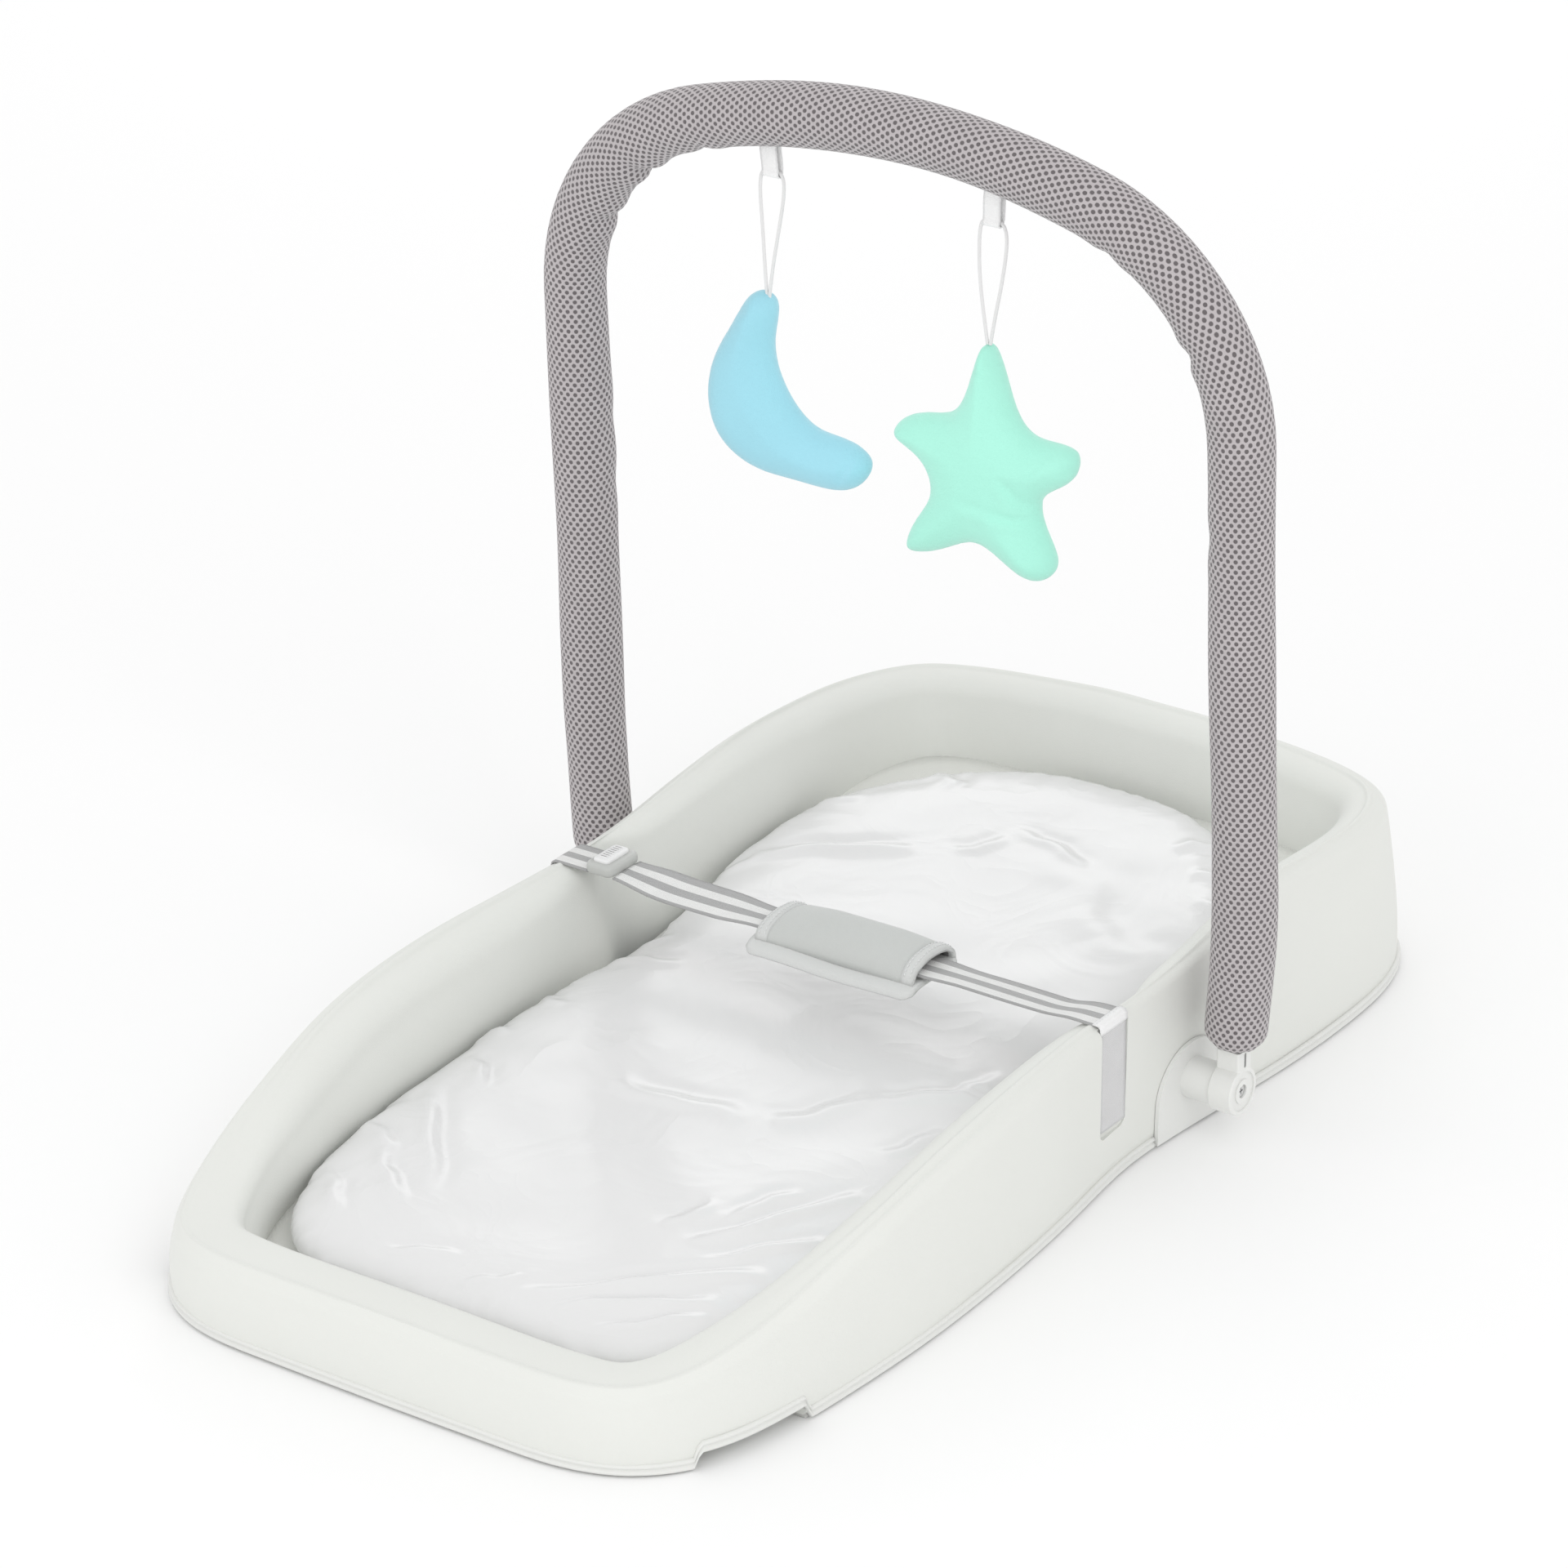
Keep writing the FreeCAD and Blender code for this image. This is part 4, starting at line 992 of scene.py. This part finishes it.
def stitches(name, route, body):
    """Row of short thread stitches along a line, each a small spindle."""
    path = walk(route, THREAD_STEP)
    sides = THREAD_SIDES
    vertices, faces = [], []
    for start in range(0, len(path) - STITCH_STEPS, STITCH_PITCH_STEPS):
        part = path[start:start + STITCH_STEPS + 1]
        sizes = np.sin(np.linspace(0.25, math.pi - 0.25, len(part))) * THREAD_R
        rings = tube_rows(part, lambda i, angles: np.full(len(angles), sizes[i]), sides)
        first = len(vertices)
        for ring in rings:
            vertices.extend(ring)
        for i in range(STITCH_STEPS):
            near = first + i * sides
            far = near + sides
            for j in range(sides):
                k = (j + 1) % sides
                faces.append((near + j, near + k, far + k, far + j))
        faces.append(tuple(first + j for j in range(sides))[::-1])
        faces.append(tuple(first + STITCH_STEPS * sides + j for j in range(sides)))
    mesh = bpy.data.meshes.new(name)
    mesh.from_pydata((np.array(vertices) * MM).tolist(), [], faces)
    mesh.polygons.foreach_set("use_smooth", [True] * len(mesh.polygons))
    mesh.update()
    piece = place_mesh(name, mesh)
    paint(piece, "thread")
    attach(piece, body)


# --- buckle ---------------------------------------------------------------------------------------
def rounded_block(name, x, y, z, corner_r, edge_r, crown=0.0):
    """Block with rounded plan corners and rolled upper and lower edges."""
    middle = np.array([sum(x) / 2, sum(y) / 2])
    half = np.array([x[1] - x[0], y[1] - y[0]]) / 2
    rings = []
    levels = []
    for angle in np.linspace(0, math.pi / 2, 5):
        levels.append((edge_r * (1 - math.sin(angle)), z[0] + edge_r * (1 - math.cos(angle))))
    for angle in np.linspace(0, math.pi / 2, 5):
        levels.append((edge_r * (1 - math.cos(angle)), z[1] - edge_r * (1 - math.sin(angle))))
    levels += [(edge_r + 1.5, z[1] + crown * 0.4), (edge_r + 3.5, z[1] + crown)]
    for inset, height in levels:
        ring = []
        inset = min(inset, 0.9 * min(half))
        size = half - inset
        round_r = max(corner_r - inset, 0.3)
        for quarter, (sx, sy) in enumerate(((1, 1), (-1, 1), (-1, -1), (1, -1))):
            for step in np.linspace(0, math.pi / 2, 6):
                angle = quarter * math.pi / 2 + step
                cx, cy = middle + (size - round_r) * [sx, sy]
                ring.append((cx + round_r * math.cos(angle), cy + round_r * math.sin(angle), height))
        rings.append(ring)
    return sheet_mesh(name, rings, wrap_columns=True, cap_ends=True)


SHELL_LOW, SHELL_HIGH = (4.0, 1.8, 0.0), (0.0, 1.8, 1.1)
PANEL_LOW, PANEL_HIGH = (2.2, 1.8, 0.0), (-0.6, 1.8, 0.0)
GRIP_COUNT = 7
GRIP_END, GRIP_SIDE, GRIP_HALF = 4.0, 2.6, 0.8


def inner_box(node, low_gap, high_gap):
    """Corners of a CAD node's box in millimetres, moved inwards by a gap on each side."""
    low, high = (np.array(point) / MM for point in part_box(node))
    return low + low_gap, high - high_gap


def buckle():
    """Rounded shell on the strap with a press panel, which has ribs for the thumb."""
    low, high = inner_box("buckle_body", SHELL_LOW, SHELL_HIGH)
    body = rounded_block("buckle_shell", (low[0], high[0]), (low[1], high[1]), (low[2], high[2]), 5.0, 2.4)
    paint(body, "buckle")
    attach(body, "root")
    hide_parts("buckle_body")
    low, high = inner_box("buckle_button", PANEL_LOW, PANEL_HIGH)
    panel_z = (high[2] - 3.0, high[2] - 0.2)
    panel = rounded_block("buckle_press_panel", (low[0], high[0]), (low[1], high[1]), panel_z, 2.5, 1.2, 0.2)
    paint(panel, "buckle panel")
    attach(panel, "buckle_press")
    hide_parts("buckle_button")
    grip_x = (low[0] + GRIP_SIDE, high[0] - GRIP_SIDE)
    grip_z = (high[2] - 0.4, high[2] + 0.5)
    for i in range(GRIP_COUNT):
        y = low[1] + GRIP_END + (high[1] - low[1] - 2 * GRIP_END) * i / (GRIP_COUNT - 1)
        grip_y = (y - GRIP_HALF, y + GRIP_HALF)
        bar = rounded_block("buckle_grip_%d" % i, grip_x, grip_y, grip_z, GRIP_HALF, 0.4)
        paint(bar, "buckle panel")
        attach(bar, "buckle_press")


# --- belly pad ------------------------------------------------------------------------------------
PAD_X = (-38.0, 67.0)
PAD_Y = (-4.0, 46.0)
PAD_MIDDLE = 24.0
PAD_HALF = 21.5
PAD_FLOOR = 94.6
PAD_TOP = 108.0
PAD_ARCH = 0.75
PAD_BAND = 8.0
PAD_STEP = 2.5
FLAP_MIDDLE_Z, FLAP_THICK, FLAP_PROUD = 92.6, 2.4, 3


def pad_rise(x):
    """How the arch of the pad stands over or under its plain height along the seat's width."""
    return float(blend_line(x, (-40, -3.6), (0, 0.5), (35, 0.8), (68, -1.5)))


def pad_arch(name, x_range, top, thick, end_roll, finish_name, half=PAD_HALF):
    """Arched padded strip over the strap, between two positions across the seat."""
    rows = []
    turns = np.linspace(0, math.pi, 17)
    for x in walk([(x_range[0], 0), (x_range[1], 0)], PAD_STEP)[:, 0]:
        edge = min(x - x_range[0], x_range[1] - x)
        lift = top + pad_rise(x) - end_roll * (1 - min(1.0, edge / 4.0)) ** 2
        ring = []
        for order, reach, foot, crown in ((turns, half, PAD_FLOOR - 2.0, lift),
                                          (turns[::-1], half - thick, PAD_FLOOR - 1.8, lift - thick)):
            for angle in order:
                z = foot + (crown - foot) * math.sin(angle) ** PAD_ARCH
                ring.append((x, PAD_MIDDLE - reach * math.cos(angle), z))
        rows.append(ring)
    piece = sheet_mesh(name, rows, wrap_columns=True, cap_ends=True)
    paint(piece, finish_name)
    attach(piece, "belly_pad")
    return piece


def belly_pad():
    """Knitted panel with two bound ends over a flap; a near-black sheet in the opening for the strap is
    painted shade.
    """
    panel = pad_arch("belly_pad_knit", (PAD_X[0] + 7.5, PAD_X[1] - 7.5), PAD_TOP - 0.6, 2.2, 0.8, "pad")
    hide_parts("belly_pad_panel")
    # Near-black sheet inside the opening: painted shade of the tunnel under the pad, not a real part.
    pad_arch("belly_pad_painted_shade", (8.0, PAD_X[1] - 3.0), PAD_TOP - 3.0, 0.5, 0.0, "pad painted shade",
             PAD_HALF - 2.9)
    ends = ((PAD_X[0], PAD_X[0] + PAD_BAND, "left"), (PAD_X[1] - PAD_BAND, PAD_X[1], "right"))
    for start, end, side in ends:
        band = pad_arch("belly_pad_band_" + side, (start, end), PAD_TOP, 2.8, 1.2, "pad edge")
        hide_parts("belly_pad_binding_" + side)
        for x in (start + 2.2, end - 2.0):
            height = PAD_TOP + pad_rise(x) - PAD_FLOOR + 2.0
            route = []
            for angle in np.linspace(0.25, math.pi - 0.25, 24):
                z = PAD_FLOOR - 1.8 + height * math.sin(angle) ** PAD_ARCH
                route.append((x, PAD_MIDDLE - PAD_HALF * math.cos(angle), z))
            stitches("belly_pad_stitches_%s_%d" % (side, round(x + 100)), route, "belly_pad")
    rows = []
    for x in walk([(PAD_X[0] - FLAP_PROUD, 0), (PAD_X[1] + FLAP_PROUD, 0)], PAD_STEP)[:, 0]:
        ring = []
        end_gap = min(x - PAD_X[0] + FLAP_PROUD, PAD_X[1] + FLAP_PROUD - x)
        narrow = 4.0 * (1 - min(1.0, end_gap / 6.0)) ** 2
        ys = np.linspace(PAD_Y[0] - 2 + narrow, PAD_Y[1] - narrow, 15)
        for side, order in ((1, ys), (-1, ys[::-1])):
            for y in order:
                sag = -5.5 * max(0.0, (6 - y) / 14.0) ** 1.3 - 0.5 * math.sin(x / 13.0)
                edge = min(y - ys[0], ys[-1] - y)
                thick = FLAP_THICK * (1 - 0.6 * (1 - min(1.0, edge / 3.0)) ** 2)
                ring.append((x, y, FLAP_MIDDLE_Z + sag + side * thick / 2))
        rows.append(ring)
    flap = sheet_mesh("belly_pad_flap", rows, wrap_columns=True, cap_ends=True)
    paint(flap, "pad edge")
    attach(flap, "belly_pad")
    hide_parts("belly_pad_base")


# --- toy bar --------------------------------------------------------------------------------------
ARCH_TILT = math.radians(2.05)
PIVOT_Y, PIVOT_Z = 102.0, 41.0
SLEEVE_R = 18.0
SLEEVE_SIDES = 52
SLEEVE_CUFF = 11.0
LEFT_LEG_LEAN = 3.6
MESH_COLUMNS, MESH_PITCH = 26.0, 5.9
# Where the cloth gathers, as a share of the sleeve's length, with the depth and width of each crease.
SLEEVE_KINKS = [(0.237, 0.8, 7.0), (0.322, 2.4, 5.0), (0.382, 1.4, 5.0), (0.598, 1.4, 5.0), (0.640, 3.0, 5.0),
                (0.680, 2.2, 5.0), (0.785, 0.8, 8.0), (0.816, 0.7, 8.0)]


def arch_line():
    """Centreline of the toy bar in its own plane, as (x, height) points from the right foot to the left."""
    top = (215.8, 371.5)
    lean = math.atan2(218.4 - top[0], top[1] - 84.0)
    corner_r, turn = 124.0, math.radians(74.0)
    right = corner([(212.4, 17.0), (218.4, 84.0), top], 40.0, 8)
    for angle in np.linspace(lean, turn, 16)[1:]:
        right.append((top[0] - corner_r * (math.cos(lean) - math.cos(angle)),
                      top[1] + corner_r * (math.sin(angle) - math.sin(lean))))
    shoulder = right[-1]
    crown_r = shoulder[0] / math.cos(turn)
    for angle in np.linspace(turn, math.pi / 2, 12)[1:]:
        right.append((crown_r * math.cos(angle), shoulder[1] + crown_r * (math.sin(angle) - math.sin(turn))))
    right = np.array([tuple(p) for p in right])
    return walk(np.vstack([right, (right * [-1, 1])[::-1][1:]]), 3.0)


def sleeve():
    """Mesh sleeve over foam; it gathers on the inside of the bends and is tucked in at both ends."""
    line = arch_line()
    across, up = line.T
    path = np.stack([across, PIVOT_Y - up * math.sin(ARCH_TILT), PIVOT_Z + up * math.cos(ARCH_TILT)], 1)
    low_left = blend_line(path[:, 2], (0, 1), (58, 1), (135, 0), (700, 0)) * (across < 0)
    path[:, 0] -= LEFT_LEG_LEAN * low_left
    length = np.r_[0, np.cumsum(np.linalg.norm(np.diff(path, axis=0), axis=1))]
    total = length[-1]

    def radii(i, angles):
        place = length[i]
        size = np.full(len(angles), SLEEVE_R - 0.3)
        inside = np.clip(np.sin(angles), 0, 1) ** 1.5
        for share, depth, width in SLEEVE_KINKS:
            gap = (place - share * total) / width
            size -= depth * math.exp(-gap * gap) * inside
            size += 0.45 * depth * math.exp(-((abs(gap) - 2.2) / 1.2) ** 2) * inside
        size += 0.35 * np.sin(place / 41.0 + angles) + 0.25 * np.sin(place / 23.0 + 2 * angles)
        edge = min(place, total - place)
        if edge < SLEEVE_CUFF:
            tuck = 1 - edge / SLEEVE_CUFF
            size *= math.sqrt(1 - 0.72 * tuck ** 2)
            size += 0.35 * np.sin(9 * angles) * tuck
        return size

    rows = tube_rows(path, radii, SLEEVE_SIDES)
    cells = (lambda j: j / SLEEVE_SIDES * MESH_COLUMNS, lambda i: length[i] / MESH_PITCH)
    tube = sheet_mesh("toy_bar_mesh_sleeve", rows, wrap_columns=True, cap_ends=True, cells=cells)
    paint(tube, "mesh")
    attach(tube, "toy_bar")
    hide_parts("toy_bar_sleeve", "toy_bar_foam")


TAB_FOLD_Z, TAB_TOP_Z = 507.5, 530
TAB_GAP, TAB_FOLD_R = 2.2, 2.3
TAB_HALF_WIDTH, TAB_HALF_THICK = 5.3, 0.45


def toy_tab(toy, x, lean):
    """Folded white ribbon sewn under the bar, with the toy's cord through its fold."""
    route = []
    for z in np.linspace(TAB_TOP_Z, 509, 6):
        route.append((TOY_PLANE_Y - TAB_GAP + 0.5 * math.sin(z / 4.0), z))
    for angle in np.linspace(math.pi, 2 * math.pi, 7):
        route.append((TOY_PLANE_Y + TAB_FOLD_R * math.cos(angle), TAB_FOLD_Z + TAB_FOLD_R * math.sin(angle)))
    for z in np.linspace(509, TAB_TOP_Z, 6):
        route.append((TOY_PLANE_Y + TAB_GAP + 0.5 * math.sin(z / 5.0), z))
    rows = []
    route = walk(route, 1.0)
    for (y, z), (ty, tz) in zip(route, directions(route)):
        ring = []
        shift = lean * (z - TAB_FOLD_Z)
        for side, order in ((1, np.linspace(-1, 1, 6)), (-1, np.linspace(1, -1, 6))):
            for s in order:
                lift = side * TAB_HALF_THICK
                ring.append((x + shift + s * TAB_HALF_WIDTH, y - tz * lift, z + ty * lift))
        rows.append(ring)
    tab = sheet_mesh("ribbon_tab_" + toy, rows, wrap_columns=True, cap_ends=True,
                     cells=(lambda j: (j % 12) / 12, lambda i: i * 1.0))
    paint(tab, "ribbon")
    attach(tab, "toy_bar")
    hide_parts("toy_tab_" + toy)


# --- plush toys -----------------------------------------------------------------------------------
MOON = [(-94, 434), (-87, 438.5), (-80.5, 436), (-79.5, 412), (-73.5, 385), (-54, 366), (-23, 359),
        (-16, 351), (-19, 342), (-60, 333), (-93, 336), (-114, 350), (-121, 372), (-116, 397), (-103, 420)]
STAR = [(61, 439), (71, 421), (90, 392), (117, 386), (117, 377), (95, 356), (96, 341), (103, 316),
        (97, 311), (60, 323), (24, 311), (11, 311), (12, 321), (26, 349), (19, 365), (2, 378),
        (6, 384), (37, 395), (51, 417)]


def plush(toy, outline, fullness, finish_name, folds):
    """Stuffed shape: two faces sewn along the outline, full in the middle and thin at the seam."""
    loop = np.array(outline, float)
    edge = smooth_closed(loop, loop, 160)
    stuffed = slab("plush_toy_" + toy, edge, lambda x, y: -4.0, lambda x, y: 4.0)
    remesh(stuffed, 2.5)
    points = get_points(stuffed)
    reach = distance_inside(points[:, :2], edge)
    puff = np.sqrt(1 - (1 - np.clip(reach / fullness, 0, 1)) ** 2)
    points[:, 2] = np.sign(points[:, 2]) * (fullness * 0.62 * puff) + 0.25 * points[:, 2]
    set_points(stuffed, np.stack([points[:, 0], TOY_PLANE_Y - points[:, 2], points[:, 1]], 1))
    face_outwards(stuffed.data)
    inflate(stuffed, pressure=2.0, cap=3.0, frames=12)
    subdivide(stuffed)
    for start, end, depth, width in folds:
        dent(stuffed, start, end, depth, width)
    paint(stuffed, finish_name)
    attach(stuffed, toy + "_toy")
    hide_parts("plush_" + toy)


def dent(piece, start, end, depth, width):
    """Press a soft line into the front of a plush toy; start and end are (x, z)."""
    points = get_points(piece)
    facing = np.clip(-get_normals(piece)[:, 1] * 1.5, 0, 1)
    along, aside = beside_line(points[:, [0, 2]], start, end)
    fade = np.sin(np.pi * np.clip(along, 0, 1)) ** 0.6
    valley = np.exp(-(aside / width) ** 2)
    ridge = np.exp(-((aside + 2 * width) / width) ** 2)
    points[:, 1] += depth * fade * facing * (valley - 0.4 * ridge)
    set_points(piece, points)


MOON_FOLDS = [((-104, 424), (-88, 428), 1.0, 2.0), ((-30, 342), (-22, 356), 1.0, 2.0)]
STAR_FOLDS = [((78, 372), (92, 352), 1.6, 3.0), ((70, 349), (94, 346), 1.4, 2.5),
              ((54, 425), (66, 426), 0.8, 1.6), ((92, 372), (100, 380), 1.0, 2.0),
              ((50, 352), (80, 350), 0.8, 3.0)]


# --- carried-over rigid parts ---------------------------------------------------------------------
def paint_rigid_parts():
    """Finishes of the CAD parts that stay as they are."""
    plan = {"base_board": "board", "frame_hoop_foot": "steel", "frame_hoop_head": "steel",
            "toy_bar_tube": "hub"}
    for side in ("left", "right"):
        for part in ("hub_block_", "hub_plate_", "hub_boss_", "toy_bar_knuckle_"):
            plan[part + side] = "hub"
        plan["pivot_screw_" + side] = "steel"
        plan["release_button_" + side] = "button"
    for node, finish_name in plan.items():
        paint(NODES[node], finish_name)


# --- studio ---------------------------------------------------------------------------------------
LAMPS = (("key", (0.3, -2.8, 1.2), 1.6, 8.0), ("fill", (2.2, -1.1, 2.2), 1.4, 10.0),
         ("rim", (-1.6, 2.4, 1.5), 1.2, 4.6))
LAMP_TARGET = Vector((0, 0, 0.1))
SKY_STRENGTH = 0.93
FLOOR_REACH = 9000


def studio():
    """Pale floor, even sky and three soft lamps."""
    scene = bpy.context.scene
    scene.view_settings.view_transform = "Standard"
    world = bpy.data.worlds.new("soft studio")
    world.use_nodes = True
    background = world.node_tree.nodes["Background"]
    background.inputs[0].default_value = (1.0, 1.0, 1.0, 1)
    background.inputs[1].default_value = SKY_STRENGTH
    scene.world = world
    for name, place, size, power in LAMPS:
        data = bpy.data.lights.new(name, "AREA")
        data.size = size
        data.energy = power
        lamp = bpy.data.objects.new("lamp_" + name, data)
        lamp.location = place
        lamp.rotation_euler = (LAMP_TARGET - Vector(place)).to_track_quat("-Z", "Y").to_euler()
        scene.collection.objects.link(lamp)
    places = np.linspace(-FLOOR_REACH, FLOOR_REACH, 5)
    floor = sheet_mesh("studio_floor", [[(x, y, -0.2) for x in places] for y in places])
    floor.data.materials.append(finish("pale floor", Roughness=0.9, Base_Color=(0.97, 0.97, 0.97, 1))[0])


tub_cover()
hem_piping()
floor_lining()
mattress()
waist_strap()
buckle()
belly_pad()
sleeve()
toy_tab("moon", -78.0, -0.05)
toy_tab("star", 64.0, 0.08)
plush("moon", MOON, 22.0, "blue", MOON_FOLDS)
plush("star", STAR, 24.0, "mint", STAR_FOLDS)
paint_rigid_parts()
studio()
